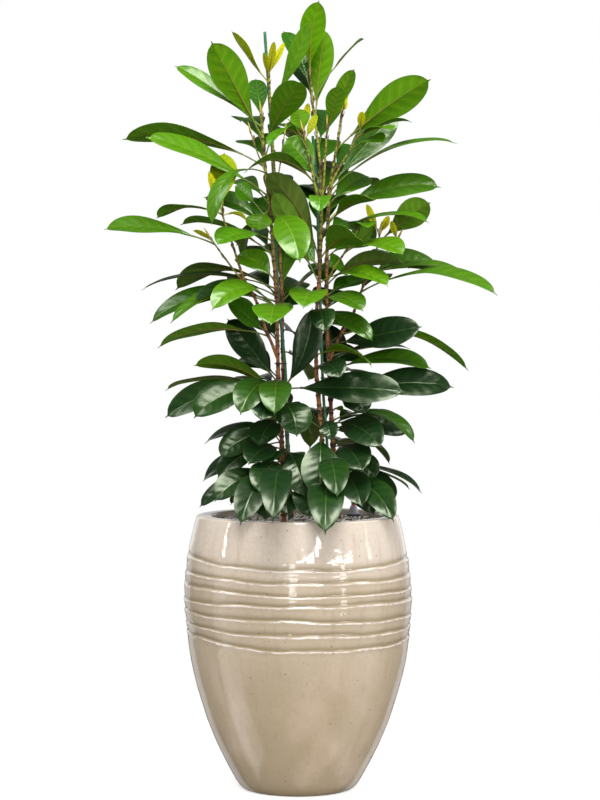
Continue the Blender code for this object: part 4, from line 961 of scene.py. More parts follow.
class Finish:
    """A material under construction, with short ways to add its nodes."""

    def __init__(self, name, roughness=0.5, **sockets):
        self.material = bpy.data.materials.new(name)
        self.material.use_nodes = True
        self.tree = self.material.node_tree
        self.shader = self.tree.nodes["Principled BSDF"]
        self.shader.inputs["Roughness"].default_value = roughness
        for socket, value in sockets.items():
            self.shader.inputs[socket.replace("_", " ")].default_value = value
        self.place = self.add("ShaderNodeTexCoord").outputs["Object"]

    def add(self, kind, inputs=(), **settings):
        node = self.tree.nodes.new(kind)
        for key, value in settings.items():
            setattr(node, key, value)
        for key, value in dict(inputs).items():
            if isinstance(value, bpy.types.NodeSocket):
                self.tree.links.new(value, node.inputs[key])
            else:
                node.inputs[key].default_value = value
        return node

    def noise(self, scale, detail, stretch=(1, 1, 1)):
        stretched = self.add("ShaderNodeMapping", {"Vector": self.place,
                                                   "Scale": stretch}).outputs[0]
        return self.add("ShaderNodeTexNoise", {"Vector": stretched, "Scale": scale,
                                               "Detail": detail}).outputs["Fac"]

    def maths(self, operation, *values, clamp=False):
        return self.add("ShaderNodeMath", enumerate(values), operation=operation,
                        use_clamp=clamp).outputs[0]

    def step(self, value, low, high):
        """0 below low, 1 above high, and smooth between."""
        return self.add("ShaderNodeMapRange", {"Value": value, "From Min": low, "From Max": high},
                        interpolation_type="SMOOTHSTEP").outputs[0]

    def line(self, value, slope, start):
        """The value times the slope, plus the start."""
        return self.maths("MULTIPLY_ADD", value, slope, start)

    def patches(self, scale, detail, low, high, stretch=(1, 1, 1)):
        """Smooth patches cut out of noise."""
        return self.step(self.noise(scale, detail, stretch), low, high)

    def over(self, colour, mask, weight, other, blend="MIX"):
        """The other colour laid over this one where the mask is, with this weight."""
        return self.mix(self.maths("MULTIPLY", mask, weight), colour, other, blend)

    def mix(self, share, first, second, blend="MIX"):
        def full(colour):
            return (*colour, 1) if len(colour) == 3 else colour
        node = self.add("ShaderNodeMix", data_type="RGBA", blend_type=blend)
        for slot, value in ((0, share), (6, first), (7, second)):
            if isinstance(value, bpy.types.NodeSocket):
                self.tree.links.new(value, node.inputs[slot])
            else:
                node.inputs[slot].default_value = full(value) if slot else value
        return node.outputs[2]

    def ramp(self, value, stops):
        node = self.add("ShaderNodeValToRGB", {"Fac": value})
        band = node.color_ramp
        while len(band.elements) < len(stops):
            band.elements.new(0.5)
        for element, (where, colour) in zip(band.elements, stops):
            element.position = where
            element.color = (*colour, 1)
        return node.outputs["Color"]

    def split(self, vector):
        return self.add("ShaderNodeSeparateXYZ", {0: vector}).outputs

    def tone(self):
        """The red, green and blue of the piece's tone attribute."""
        node = self.add("ShaderNodeAttribute", attribute_name=TONE)
        return self.split(node.outputs["Vector"])

    def finish(self, colour, roughness=None, height=None, distance=0.0005, strength=1.0):
        self.tree.links.new(colour, self.shader.inputs["Base Color"])
        if roughness is not None:
            self.tree.links.new(roughness, self.shader.inputs["Roughness"])
        if height is not None:
            bump = self.add("ShaderNodeBump", {"Height": height, "Distance": distance,
                                               "Strength": strength})
            self.tree.links.new(bump.outputs[0], self.shader.inputs["Normal"])
            self.tree.links.new(bump.outputs[0], self.shader.inputs["Coat Normal"])
        return self.material


def glaze_finish(colours):
    made = Finish("pearly glaze", 0.42, Coat_Weight=1.0, Coat_Roughness=0.025, Coat_IOR=1.5,
                  IOR=1.35)
    high = made.maths("ADD", made.split(made.place)[2], made.line(made.noise(5, 3), 0.14, -0.07))
    # The glaze darkens from the shoulder down to the foot: partly the glaze's own khaki, partly
    # painted shade of the lower body, deepest at the foot.
    foot = tuple(channel * 0.74 for channel in colours.glaze_low)
    colour = made.mix(made.step(high, 0.0, 0.2), foot, colours.glaze_low)
    colour = made.mix(made.step(high, 0.12, 0.36), colour, colours.glaze_band)
    colour = made.mix(made.step(high, 0.38, 0.49), colour, colours.glaze_high)
    warm = made.patches(13, 5, 0.45, 0.75, (1, 1, 0.6))
    colour = made.over(colour, warm, 0.3, colours.glaze_warm)
    runs = made.patches(95, 3, 0.5, 0.8, (1, 1, 0.05))
    colour = made.over(colour, runs, 0.2, colours.glaze_pooled_and_shade)
    colour = made.over(colour, made.patches(150, 6, 0.35, 0.7), 0.1, colours.glaze_pooled_and_shade)
    # The tone's first channel lays the dark glaze into each groove, as gathered glaze deepened as
    # painted shade of the recess, and darkens the foot.
    pool_shade_highlight = made.tone()
    colour = made.mix(pool_shade_highlight[0], colour, colours.glaze_pooled_and_shade)
    # A painted highlight along each crest, made patchy by noise.
    broken_highlight = made.maths("MULTIPLY", pool_shade_highlight[1], made.patches(75, 4, 0.36, 0.62))
    colour = made.mix(broken_highlight, colour, colours.glaze_crest_highlight)
    cells = made.add("ShaderNodeTexVoronoi", {"Vector": made.place, "Scale": 60})
    chosen = made.step(made.split(cells.outputs["Color"])[0], 0.55, 0.57)
    near = made.step(cells.outputs["Distance"], 0.10, 0.06)
    speck = made.maths("MULTIPLY", chosen, near)
    colour = made.over(colour, speck, 0.8, colours.glaze_speck)
    peel = made.maths("MULTIPLY", made.noise(26, 1), 0.5)
    peel = made.maths("ADD", peel, made.maths("MULTIPLY", made.noise(80, 1), 0.13))
    peel = made.maths("ADD", peel, made.maths("MULTIPLY", made.noise(230, 2), 0.05))
    return made.finish(colour, height=peel, distance=0.0024, strength=0.6)


def grit_finish():
    made = Finish("mineral grit", 0.85)
    grains = made.add("ShaderNodeTexVoronoi", {"Vector": made.place, "Scale": 210})
    shade = made.split(grains.outputs["Color"])
    colour = made.ramp(shade[0], [(0.0, (0.08, 0.07, 0.06)), (0.3, (0.30, 0.26, 0.22)),
                                  (0.6, (0.30, 0.27, 0.23)), (1.0, (0.62, 0.60, 0.56))])
    return made.finish(colour, height=grains.outputs["Distance"], distance=0.002)


def stone_finish():
    made = Finish("grit stones", 0.8)
    colour = made.ramp(made.tone()[0], [
        (0.0, (0.03, 0.026, 0.022)), (0.2, (0.34, 0.24, 0.17)), (0.35, (0.66, 0.62, 0.56)),
        (0.6, (0.84, 0.82, 0.79)), (1.0, (0.95, 0.95, 0.93))])
    fleck = made.noise(900, 3)
    colour = made.mix(made.step(fleck, 0.55, 0.75), colour, (0.3, 0.27, 0.24))
    return made.finish(colour, height=fleck, distance=0.0004)


def root_finish():
    made = Finish("fibrous roots", 0.95)
    fibres = made.noise(160, 4, stretch=(1, 1, 0.3))
    colour = made.ramp(fibres, [(0.3, (0.03, 0.018, 0.01)), (0.6, (0.13, 0.08, 0.045)),
                                (0.75, (0.28, 0.20, 0.12))])
    return made.finish(colour, height=fibres, distance=0.002)


def vein_masks(made):
    """(midrib, side veins, edge, painted shade in the dips between the veins and towards the base)
    of a blade, from its own map.
    """
    uv = made.split(made.add("ShaderNodeUVMap", uv_map=BLADE_UV).outputs[0])
    share = made.maths("ABSOLUTE", made.line(uv[0], 2, -1))
    narrow = made.line(uv[1], -0.03, 0.045)
    rib = made.maths("SUBTRACT", 1, made.maths("DIVIDE", share, narrow), clamp=True)
    wave = made.maths("MULTIPLY_ADD", share, -VEIN_LEAN, uv[1])
    wave = made.maths("COSINE", made.maths("MULTIPLY", wave, math.tau * VEIN_PAIRS))
    veins = made.step(wave, 0.88, 1.0)
    veins = made.maths("MULTIPLY", veins, made.step(share, 1.0, 0.55))
    edge = made.step(share, 0.955, 0.985)
    # Painted shade: darker between the side veins and over the lower part of the blade.
    valley = made.maths("MULTIPLY", made.step(wave, 0.3, -1.0), made.step(share, 1.0, 0.6))
    hollow_shade = made.maths("MULTIPLY_ADD", made.step(uv[1], 0.55, 0.0), 0.55,
                        made.maths("MULTIPLY", valley, 0.45))
    return rib, veins, edge, hollow_shade


def leaf_finish(colours):
    made = Finish("glossy leaf", 0.3, IOR=1.45, Specular_IOR_Level=0.5,
                  Specular_Tint=(0.88, 1.0, 0.66, 1), Coat_Weight=0.2, Coat_Roughness=0.2)
    rib, veins, edge, hollow_shade = vein_masks(made)
    tone = made.tone()
    age = made.maths("ADD", tone[0], made.line(made.noise(16, 3), 0.16, -0.08), clamp=True)
    colour = made.ramp(age, [
        (0.0, colours.leaf_new), (0.26, colours.leaf_fresh), (0.55, colours.leaf_grown),
        (0.9, colours.leaf_old)])
    colour = made.over(colour, made.patches(70, 4, 0.35, 0.75), 0.25, (0.8, 1.0, 0.6), "MULTIPLY")
    # Painted sheen: a pale grey-green laid over the upper side of some leaves, chosen by their
    # light value, where a glossy leaf mirrors the bright studio.
    pale_sheen = made.maths("MULTIPLY", made.step(tone[1], 0.6, 1.0), made.step(tone[0], 0.85, 0.5))
    colour = made.over(colour, pale_sheen, 0.16, (0.17, 0.28, 0.008))
    # Painted shade between the veins and towards the base.
    colour = made.over(colour, hollow_shade, 0.6, (0.45, 0.5, 0.4), "MULTIPLY")
    lighter = made.mix(0.5, colour, colours.rib)
    colour = made.over(colour, veins, made.line(tone[0], -0.14, 0.16), lighter)
    colour = made.over(colour, edge, made.line(tone[0], -0.32, 0.4), lighter)
    colour = made.over(colour, rib, 0.8, made.mix(tone[0], colours.rib, (0.055, 0.11, 0.022)))
    return made.finish(colour, made.line(made.noise(40, 2), 0.12, 0.24))


def underside_finish(colours):
    made = Finish("matt leaf underside", 0.5, IOR=1.28, Specular_IOR_Level=0.15,
                  Specular_Tint=(0.9, 1.0, 0.2, 1))
    rib, veins, _, hollow_shade = vein_masks(made)
    tone = made.tone()
    colour = made.ramp(tone[0], [(0.0, colours.leaf_new), (0.3, colours.under_fresh),
                                 (0.85, colours.under_old)])
    colour = made.over(colour, made.patches(60, 5, 0.35, 0.75), 0.45, (0.7, 0.85, 0.6), "MULTIPLY")
    colour = made.over(colour, made.patches(26, 4, 0.58, 0.75), 0.16, (0.16, 0.13, 0.002))
    # Painted shade: a darker copy of the underside, deeper on older leaves, taken where the leaf's
    # light value is low.
    shaded = made.over(colour, tone[0], 0.5, (0.02, 0.04, 0.0015))
    colour = made.mix(tone[1], shaded, colour)
    # Painted shade between the veins and towards the base.
    colour = made.over(colour, hollow_shade, 0.45, (0.5, 0.55, 0.4), "MULTIPLY")
    pale = made.mix(0.5, colour, (0.34, 0.30, 0.008))
    colour = made.over(colour, veins, 0.2, pale)
    colour = made.over(colour, rib, 0.9, (0.15, 0.085, 0.012))
    return made.finish(colour, made.line(made.noise(60, 3), 0.2, 0.38))


def stalk_finish(colours):
    made = Finish("leaf stalk", 0.42)
    tone = made.tone()
    colour = made.ramp(tone[0], [(0.0, (0.42, 0.38, 0.04)), (0.4, (0.11, 0.16, 0.018)),
                                 (1.0, (0.04, 0.062, 0.012))])
    spots = made.noise(300, 3)
    colour = made.mix(made.step(spots, 0.55, 0.75), colour, (0.17, 0.085, 0.03))
    colour = made.over(colour, tone[2], 0.75, (0.15, 0.085, 0.012))
    return made.finish(colour, height=spots, distance=0.0003)


def bark_finish(colours):
    made = Finish("stem bark", 0.75)
    tone = made.tone()
    streaks = made.noise(260, 4, stretch=(1, 1, 0.18))
    colour = made.mix(made.step(streaks, 0.4, 0.7), colours.bark, (0.38, 0.155, 0.045))
    young = made.mix(made.step(streaks, 0.45, 0.75), colours.shoot, (0.20, 0.16, 0.02))
    colour = made.mix(tone[0], colour, young)
    colour = made.over(colour, made.patches(75, 4, 0.47, 0.62), 0.7, (0.03, 0.013, 0.006))
    colour = made.over(colour, tone[1], 0.96, (0.022, 0.010, 0.005))
    height = made.maths("ADD", streaks, made.noise(700, 2))
    return made.finish(colour, height=height, distance=0.0007)


def sheath_finish(colours):
    made = Finish("papery sheath", 0.6)
    tone = made.tone()
    fibres = made.noise(320, 3, stretch=(1, 1, 0.2))
    colour = made.mix(made.step(fibres, 0.35, 0.7), colours.sheath, (0.20, 0.09, 0.03))
    colour = made.mix(tone[1], colour, (0.03, 0.013, 0.007))
    colour = made.mix(tone[0], colour, (0.46, 0.36, 0.05))
    return made.finish(colour, height=fibres, distance=0.0004)


def plain_finish(name, colour, roughness, **sockets):
    """A moulded or coated finish: slightly cloudy, with a fine grain."""
    made = Finish(name, roughness, **sockets)
    darker = tuple(channel * 0.8 for channel in colour)
    shade = made.mix(made.patches(90, 3, 0.3, 0.7), colour, darker)
    return made.finish(shade, height=made.noise(1200, 2), distance=0.0001, strength=0.4)


# The pot

POT_LINE = smooth_line([(radius, 0, up) for up, radius in POT_OUTLINE], 4)


def pot_radius(height):
    """The pot's outer radius at this height, before it is pressed."""
    return at_height(POT_LINE, height).x


def ridge_lean(height, angle):
    """How far the ridges near this height shift up or down at this angle round the pot."""
    def lean(ridge):
        waver = (0.0011 * math.sin(5 * angle + ridge.height * 310)
                 + 0.0008 * math.sin(11 * angle + ridge.height * 170)
                 + 0.0003 * math.sin(31 * angle + ridge.height * 90))
        return (ridge.side * math.cos(angle) + ridge.front * math.sin(angle)
                + ridge.double * math.cos(2 * angle) + waver)
    if height >= RIDGES[0].height + RIDGE_REACH:
        fade = (LEVEL_LIP - height) / (LEVEL_LIP - RIDGES[0].height - RIDGE_REACH)
        return lean(RIDGES[0]) * max(fade, 0)
    for upper, lower in zip(RIDGES, RIDGES[1:]):
        if height > lower.height + RIDGE_REACH:
            share = (upper.height + RIDGE_REACH - height) / (upper.height - lower.height)
            return lean(upper) * (1 - share) + lean(lower) * share
    below = RIDGES[-1].height + RIDGE_REACH - height
    return lean(RIDGES[-1]) * max(1 - below / RIDGE_FADE, 0)


def hump(value, middle, below, above):
    """A smooth hump, 1 at its middle, with its own reach on each side."""
    reach = below if value < middle else above
    return math.exp(-((value - middle) / reach) ** 2)


def pressed(height, sizes):
    """(how far the wall stands out at this mean height, dark glaze in the groove above a crest with
    painted shade of the recess, painted highlight along a crest).
    """
    out = 0.0
    pool_and_shade = 0.0
    crest_highlight = 0.0
    for ridge in RIDGES:
        above = height - ridge.height
        crest = hump(above, 0.0, CREST_FOOT, sizes.crest_width * 0.6)
        groove = hump(above, sizes.crest_width, sizes.crest_width * 0.6, GROOVE_REACH)
        out += sizes.crest_rise * crest - sizes.groove_depth * groove
        pool_and_shade = max(pool_and_shade, hump(above, sizes.crest_width, *POOL_SHADE_REACH))
        crest_highlight = max(crest_highlight, hump(above, CREST_HIGHLIGHT_AT, *CREST_HIGHLIGHT_REACH))
    return out, pool_and_shade, crest_highlight


def make_planter(sizes, colours):
    rows = {*POT_ROWS, *(ridge.height + offset for ridge in RIDGES for offset in RIDGE_ROWS)}
    foot = [(0.0, 0.0005), (POT_OUTLINE[0][1] - 0.006, 0.0), (POT_OUTLINE[0][1] - 0.001, 0.0003)]
    outer = foot + [(pot_radius(row), row) for row in sorted(rows)]
    outer += [(pot_radius(POT_HEIGHT) - inset, POT_HEIGHT - drop)
              for inset, drop in reversed(LIP_ROUNDING)]
    inner = [(LIP_INNER + inset, POT_HEIGHT - drop) for inset, drop in LIP_ROUNDING]
    inner += [(LIP_INNER, POT_HEIGHT - 0.012), (LIP_INNER, POT_HEIGHT - LIP_DEPTH)]
    inner += [(pot_radius(row) - POT_WALL, row) for row in (0.47, *INNER_ROWS, POT_FLOOR)]
    build = turned(outer + inner + [(0.0, POT_FLOOR)], POT_SIDES)
    tone = build.verts.layers.float_color.new(TONE)
    for vertex in build.verts:
        radius = math.hypot(vertex.co.x, vertex.co.y)
        height = vertex.co.z
        vertex[tone] = (0, 0, 0, 1)
        if radius < pot_radius(height) - 0.004:
            continue
        angle = math.atan2(vertex.co.y, vertex.co.x)
        out, pool_and_shade, crest_highlight = pressed(height, sizes)
        vary = (1 + 0.25 * math.sin(4 * angle + height * 60)
                + 0.15 * math.sin(9 * angle - height * 95))
        swell = 0.0008 * math.sin(3 * angle + 1.0) * math.sin(height * 9)
        # Darker towards the bottom of the pot.
        foot_darkening = max(1 - height / FOOT_DARKENING_REACH, 0) * 0.6
        scale = (radius + out * vary + swell) / radius
        vertex.co.x *= scale
        vertex.co.y *= scale
        vertex.co.z += ridge_lean(height, angle)
        # The tone carries the dark glaze of the grooves with their painted shade, the darkening
        # towards the foot, and the painted highlight of the crests.
        vertex[tone] = (max(pool_and_shade * 0.7, foot_darkening), crest_highlight, 0, 1)
    new_piece("planter_glazed", build, [glaze_finish(colours)], ["planter"])


# Grit

def rods_at(height):
    """(x, y, radius) of each rod that comes through the grit."""
    spots = [(GAUGE_AT[0], GAUGE_AT[1], GAUGE_COLLAR)]
    for name, branch in BRANCHES.items():
        if branch.points[0][1] < SOIL_TOP:
            spot = at_height(grown()["lines"][name], height)
            spots.append((spot.x, spot.y, branch.foot))
    for name in CANES:
        spot = at_height(cane_line(name, 2), height)
        spots.append((spot.x, spot.y, CANE_RADIUS))
    return spots


def make_grit(sizes):
    dice = random.Random(GRIT_SEED)
    step = sizes.grain_spacing
    reach = LIP_INNER - GRIT_CLEAR
    rods = rods_at(SOIL_TOP)
    build = bmesh.new()
    rows = int(2 * reach / (step * GRIT_PACKING)) + 1
    for row, level in itertools.product(range(rows), GRIT_LAYERS):
        part = bmesh.new()
        tone = part.verts.layers.float_color.new(TONE)
        for column in range(rows):
            x = -reach + (column + 0.5 * (row % 2)) * step + dice.uniform(-0.3, 0.3) * step
            y = -reach + row * step * GRIT_PACKING + dice.uniform(-0.3, 0.3) * step
            shade = dice.random()
            radius = sizes.grain * dice.uniform(0.6, 1.25)
            lift = dice.uniform(-0.2, 0.65) * radius
            tip = Vector([dice.uniform(-1, 1) for _ in range(3)])
            squash = Vector([dice.uniform(0.75, 1.25) for _ in range(3)])
            if math.hypot(x, y) > reach - radius:
                continue
            if any(math.hypot(x - a, y - b) < r + radius for a, b, r in rods):
                continue
            relief = SOIL_RELIEF * math.sin(x * 137) * math.cos(y * 151 + x * 40)
            place = (Matrix.Translation((x, y, SOIL_TOP + level + relief + lift))
                     @ Matrix.Rotation(tip.length * 3, 4, tip)
                     @ Matrix.Diagonal((*squash * radius, 1)))
            made = bmesh.ops.create_icosphere(part, subdivisions=1, radius=1, matrix=place)
            for vertex in made["verts"]:
                vertex[tone] = (shade, 0, 0, 1)
        pour(build, part)
    new_piece("grit_stones", build, [stone_finish()])
    dress("substrate", grit_finish())
    dress("root_ball", root_finish())


def dress(node, finish):
    """Gives a CAD node that stays a better material."""
    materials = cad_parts[node].data.materials
    materials.clear()
    materials.append(finish)


# Gauge, canes and ties

def stood(profile, sides):
    """A turned piece, moved to where the gauge stands."""
    part = turned(profile, sides)
    bmesh.ops.transform(part, matrix=Matrix.Translation((*GAUGE_AT, 0)), verts=part.verts)
    return part


def make_gauge(colours):
    collar = COLLAR_FOOT
    top = GAUGE_CONE_TOP
    body = stood([
        (0.0, GAUGE_WELL), (GAUGE_BORE, GAUGE_WELL), (GAUGE_BORE, top - 0.0005),
        (GAUGE_BORE + 0.0005, top), (GAUGE_TUBE + 0.0004, top), (GAUGE_TUBE + 0.001, top - 0.0006),
        (0.0080, top - 0.0065), (0.0098, top - 0.0120), (GAUGE_COLLAR - 0.0008, collar + 0.0084),
        (GAUGE_COLLAR - 0.0002, collar + 0.0076), (GAUGE_COLLAR, collar + 0.0068),
        (GAUGE_COLLAR, collar + 0.0045), (GAUGE_COLLAR - 0.0004, collar + 0.0040),
        (GAUGE_COLLAR - 0.0004, collar + 0.0036), (GAUGE_COLLAR, collar + 0.0031),
        (GAUGE_COLLAR, collar + 0.0006), (GAUGE_COLLAR - 0.0006, collar), (GAUGE_SHAFT, collar),
        (GAUGE_SHAFT, GAUGE_FOOT + 0.001), (GAUGE_SHAFT - 0.001, GAUGE_FOOT),
        (0.0, GAUGE_FOOT)], 48)
    for one in body.faces:
        one.material_index = 1 if one.calc_center_median().z < collar + 0.0072 else 0
    new_piece("gauge_cone", body, [
        plain_finish("gauge cone", tuple(colours.gauge), 0.42),
        plain_finish("gauge collar", (0.075, 0.065, 0.085), 0.4)], ["gauge_body"])
    floor = top + 0.0003
    tip = GAUGE_TUBE_TOP
    clear = stood([
        (0.0, tip - 0.003), (GAUGE_BORE * 0.7, tip - 0.0026), (GAUGE_BORE, tip - 0.0036),
        (GAUGE_BORE, floor), (GAUGE_TUBE, floor), (GAUGE_TUBE, tip - 0.003),
        (GAUGE_TUBE - 0.0006, tip - 0.0012), (GAUGE_TUBE - 0.002, tip - 0.0002), (0.0, tip)], 40)
    new_piece("gauge_clear_tube", clear, [
        plain_finish("clear tube", (0.92, 0.94, 0.95), 0.06, Transmission_Weight=0.92,
                     IOR=1.45)], ["gauge_tube"])
    low = GAUGE_WELL + GAP
    high = FLOAT_TOP
    wide = GAUGE_BORE - 0.0006
    mark = stood([(0.0, high), (wide * 0.6, high - 0.0004), (wide, high - 0.0018),
                  (wide, low + 0.001), (wide * 0.7, low), (0.0, low)], 32)
    new_piece("gauge_red_float", mark, [plain_finish("red float", (0.62, 0.015, 0.012), 0.35)],
              ["gauge_float"])


def make_canes(sizes, colours):
    coat = plain_finish("green cane coat", tuple(colours.cane), 0.42)
    for name in CANES:
        line = cane_line(name, 40)
        travel = 0.0
        radii = []
        for before, here in zip([line[0]] + line, line):
            travel += (here - before).length
            near = abs((travel / sizes.nub_spacing) % 1 - 0.5) * sizes.nub_spacing
            radii.append(CANE_RADIUS * (0.93 + 0.12 * math.exp(-(near / NUB_REACH) ** 2)))
        rise = (line[-1] - line[-2]).normalized()
        tip = line[-1]
        line[-1] = tip - rise * 0.0012
        line += [tip - rise * 0.0004, tip]
        radii += [CANE_RADIUS * 0.75, CANE_RADIUS * 0.35]
        new_piece(name + "_coated", sweep(line, radii), [coat], [name])


def make_ties():
    coat = plain_finish("black tie wire", (0.018, 0.017, 0.018), 0.38)
    lines = {name: cane_line(name, 2) for name in CANES}
    for name, (height, held) in TIES.items():
        ring = []
        for rod in held:
            line = lines[rod] if rod in lines else grown()["lines"][rod]
            radius = CANE_RADIUS if rod in lines else BRANCHES[rod].foot
            middle = at_height(line, height)
            for turn in range(20):
                angle = math.tau * turn / 20
                reach = radius + TIE_WIRE * 1.5
                ring.append(Vector((middle.x + reach * math.cos(angle),
                                    middle.y + reach * math.sin(angle))))
        hull = [ring[i] for i in geometry.convex_hull_2d(ring)]
        front = min(range(len(hull)), key=lambda i: hull[i].y)
        hull = hull[front:] + hull[:front + 1]
        loop = []
        for i, spot in enumerate(hull):
            climb = TIE_WIRE * 2.2 * i / (len(hull) - 1)
            loop.append(Vector((spot.x, spot.y, height - TIE_WIRE + climb)))
        build = bmesh.new()
        pour(build, sweep(loop, [TIE_WIRE] * len(loop), 8))
        knot = loop[0] + Vector((0, -TIE_WIRE * 1.5, TIE_WIRE))
        for half in (0.0, math.pi):
            twist = []
            for turn in range(26):
                angle = half + turn * 0.7
                twist.append(knot + Vector((0.0010 * math.cos(angle), -0.0005 * turn,
                                            0.0010 * math.sin(angle) - 0.0001 * turn)))
            pour(build, sweep(twist, [TIE_WIRE * 0.9] * len(twist), 8))
        new_piece(name + "_wire", build, [coat], [name])


# Stems and leaves

def make_wood(node, sizes, finishes):
    """A stem's branches with their leaf scars, the stalks and ribs of its leaves, its sheaths."""
    dice = random.Random(node)
    build = bmesh.new()
    for name, branch in BRANCHES.items():
        if branch.node != node:
            continue
        coarse = grown()["lines"][name]
        scars = [spot[0].z for spot in grown()["leaves"][name]]
        height = coarse[0].z + 0.05
        while height < coarse[-1].z:
            scars.append(height)
            crowded = 0.62 if height > CROWDED_ABOVE else 1.0
            height += sizes.node_spacing * crowded * dice.uniform(0.6, 1.4)
        line = []
        for low, high in zip(coarse, coarse[1:]):
            cuts = max(int((high - low).length / WOOD_STEP), 1)
            line += [low.lerp(high, cut / cuts) for cut in range(cuts)]
        line.append(coarse[-1])
        radii = []
        tones = []
        for i, point in enumerate(line):
            share = i / (len(line) - 1)
            radius = branch.foot + (branch.tip - branch.foot) * share
            ring = max(math.exp(-((point.z - scar) / SCAR_REACH) ** 2) for scar in scars)
            radii.append(radius * (0.95 + 0.34 * ring + 0.06 * math.sin(i * 0.37 + branch.foot)))
            youth = min(max((point.z - CROWDED_ABOVE) / 0.15, 0), 1) * 0.9
            if branch.foot < SHOOT_FOOT:
                youth = max(youth, 0.55 + 0.4 * share)
            tones.append((youth, ring, dice.random(), 1))
        line = [line[0]] + [(a + b + c) / 3 for a, b, c in zip(line, line[1:], line[2:])] + [
            line[-1]]
        pour(build, sweep(line, radii, 12, tones))
        rise = (line[-1] - line[-2]).normalized()
        bud = [line[-1] + rise * (BUD_LENGTH * cut / 8 - 0.003) for cut in range(9)]
        swell = [BUD_RADIUS * math.sin(math.pi * (0.32 + 0.66 * cut / 8)) ** 0.8
                 for cut in range(9)]
        pour(build, tagged(sweep(bud, swell, 10, [(0.7, 0, 0.5, 1)] * 9), 2))
        for spot in grown()["leaves"][name]:
            pour(build, tagged(stalk(spot, *leaf_age(spot[2], dice)), 1))
        for scar in scars:
            if scar < SHEATHS_ABOVE or dice.random() > (0.85 if scar > CROWDED_ABOVE else 0.35):
                continue
            turn = dice.uniform(0, math.tau)
            out = Vector((math.cos(turn), math.sin(turn), 0))
            foot = at_height(coarse, scar) + out * branch.tip * 0.8
            lance = sheath(foot, rise, out, dice.uniform(0.008, 0.016), dice)
            tone = (dice.uniform(0, 0.12), dice.uniform(0.1, 0.95), 0, 1)
            pour(build, tagged(blade(lance, tone, dice, 0.0004, (3, 5)), 2))
    new_piece(node + "_wood", build, finishes, [node])


def tagged(part, index):
    """The part with all its faces in this material slot, and no map of its own."""
    for one in part.faces:
        one.material_index = index
    for layer in list(part.loops.layers.uv.values()):
        part.loops.layers.uv.remove(layer)
    return part


def make_leaves(node, sizes, finishes):
    dice = random.Random(node + " leaves")
    build = bmesh.new()
    for name, branch in BRANCHES.items():
        if branch.node == node:
            for spot in grown()["leaves"][name]:
                tone = (*leaf_age(spot[2], dice), 0, 1)
                pour(build, blade(spot, tone, dice, thickness=sizes.blade_thickness))
    new_piece(node + "_leaves", build, finishes, [node])


# Studio

def soft_box(name, azimuth, elevation, distance, width, height, power):
    """An area light that faces the target. Azimuth 0 is the front, and positive is to the right."""
    turn = math.radians(azimuth)
    lift = math.radians(elevation)
    spot = LIGHT_TARGET + distance * Vector((
        math.sin(turn) * math.cos(lift), -math.cos(turn) * math.cos(lift), math.sin(lift)))
    lamp = bpy.data.lights.new(name, "AREA")
    lamp.shape = "RECTANGLE"
    lamp.size = width
    lamp.size_y = height
    lamp.energy = power
    made = bpy.data.objects.new(name, lamp)
    made.location = spot
    made.rotation_euler = (LIGHT_TARGET - spot).to_track_quat("-Z", "Y").to_euler()
    made.visible_camera = False
    made.visible_glossy = name not in UNMIRRORED
    bpy.context.scene.collection.objects.link(made)


def floor_finish(colours):
    """A matt pale floor that melts into the pale backdrop far from the plant."""
    made = Finish("pale floor", 0.9)
    pale = tuple(colours.floor)
    cloud = made.mix(made.noise(2, 2), pale, tuple(channel * 0.985 for channel in pale))
    x, y, _ = made.split(made.place)
    away = made.maths("SQRT", made.maths("ADD", made.maths("MULTIPLY", x, x),
                                         made.maths("MULTIPLY", y, y)))
    near = made.step(away, *reversed(FLOOR_FADE))
    made.tree.links.new(near, made.shader.inputs["Alpha"])
    made.shader.inputs["Emission Color"].default_value = (1, 1, 1, 1)
    made.shader.inputs["Emission Strength"].default_value = FLOOR_GLOW
    return made.finish(cloud)


def make_stage(colours):
    build = bmesh.new()
    bmesh.ops.create_circle(build, cap_ends=True, segments=96, radius=FLOOR_REACH)
    mesh = bpy.data.meshes.new("floor")
    build.to_mesh(mesh)
    build.free()
    mesh.materials.append(floor_finish(colours))
    floor = bpy.data.objects.new("floor", mesh)
    bpy.context.scene.collection.objects.link(floor)
    floor.visible_glossy = False
    world = bpy.data.worlds.new("soft studio")
    world.use_nodes = True
    tree = world.node_tree
    sky = tree.nodes["Background"]
    sky.inputs["Color"].default_value = (1, 1, 1, 1)
    seen = tree.nodes.new("ShaderNodeLightPath").outputs["Is Camera Ray"]
    strength = tree.nodes.new("ShaderNodeMapRange")
    strength.inputs["To Min"].default_value = SKY_LIGHT
    strength.inputs["To Max"].default_value = SKY_SEEN
    tree.links.new(seen, strength.inputs["Value"])
    tree.links.new(strength.outputs[0], sky.inputs["Strength"])
    bpy.context.scene.world = world
    for lamp in LAMPS:
        soft_box(*lamp)
    lens = bpy.data.cameras.new("camera")
    lens.lens = CAMERA_LENS
    lens.sensor_width = 36
    camera = bpy.data.objects.new("camera", lens)
    camera.location = CAMERA_AT
    camera.rotation_euler = (math.radians(90 - CAMERA_DOWN), 0, 0)
    bpy.context.scene.collection.objects.link(camera)
    bpy.context.scene.camera = camera
    bpy.context.scene.view_settings.view_transform = "Standard"


# Operators, panel and registration

class FIG_OT_planter(bpy.types.Operator):
    """Make the glazed planter with its seven pressed ridges"""
    bl_idname = "fig.planter"
    bl_label = "Glazed planter"

    def execute(self, context):
        make_planter(context.scene.fig_sizes, context.scene.fig_colours)
        return {"FINISHED"}


class FIG_OT_grit(bpy.types.Operator):
    """Fill the planter with loose grit over the root ball"""
    bl_idname = "fig.grit"
    bl_label = "Mineral grit"

    def execute(self, context):
        make_grit(context.scene.fig_sizes)
        return {"FINISHED"}


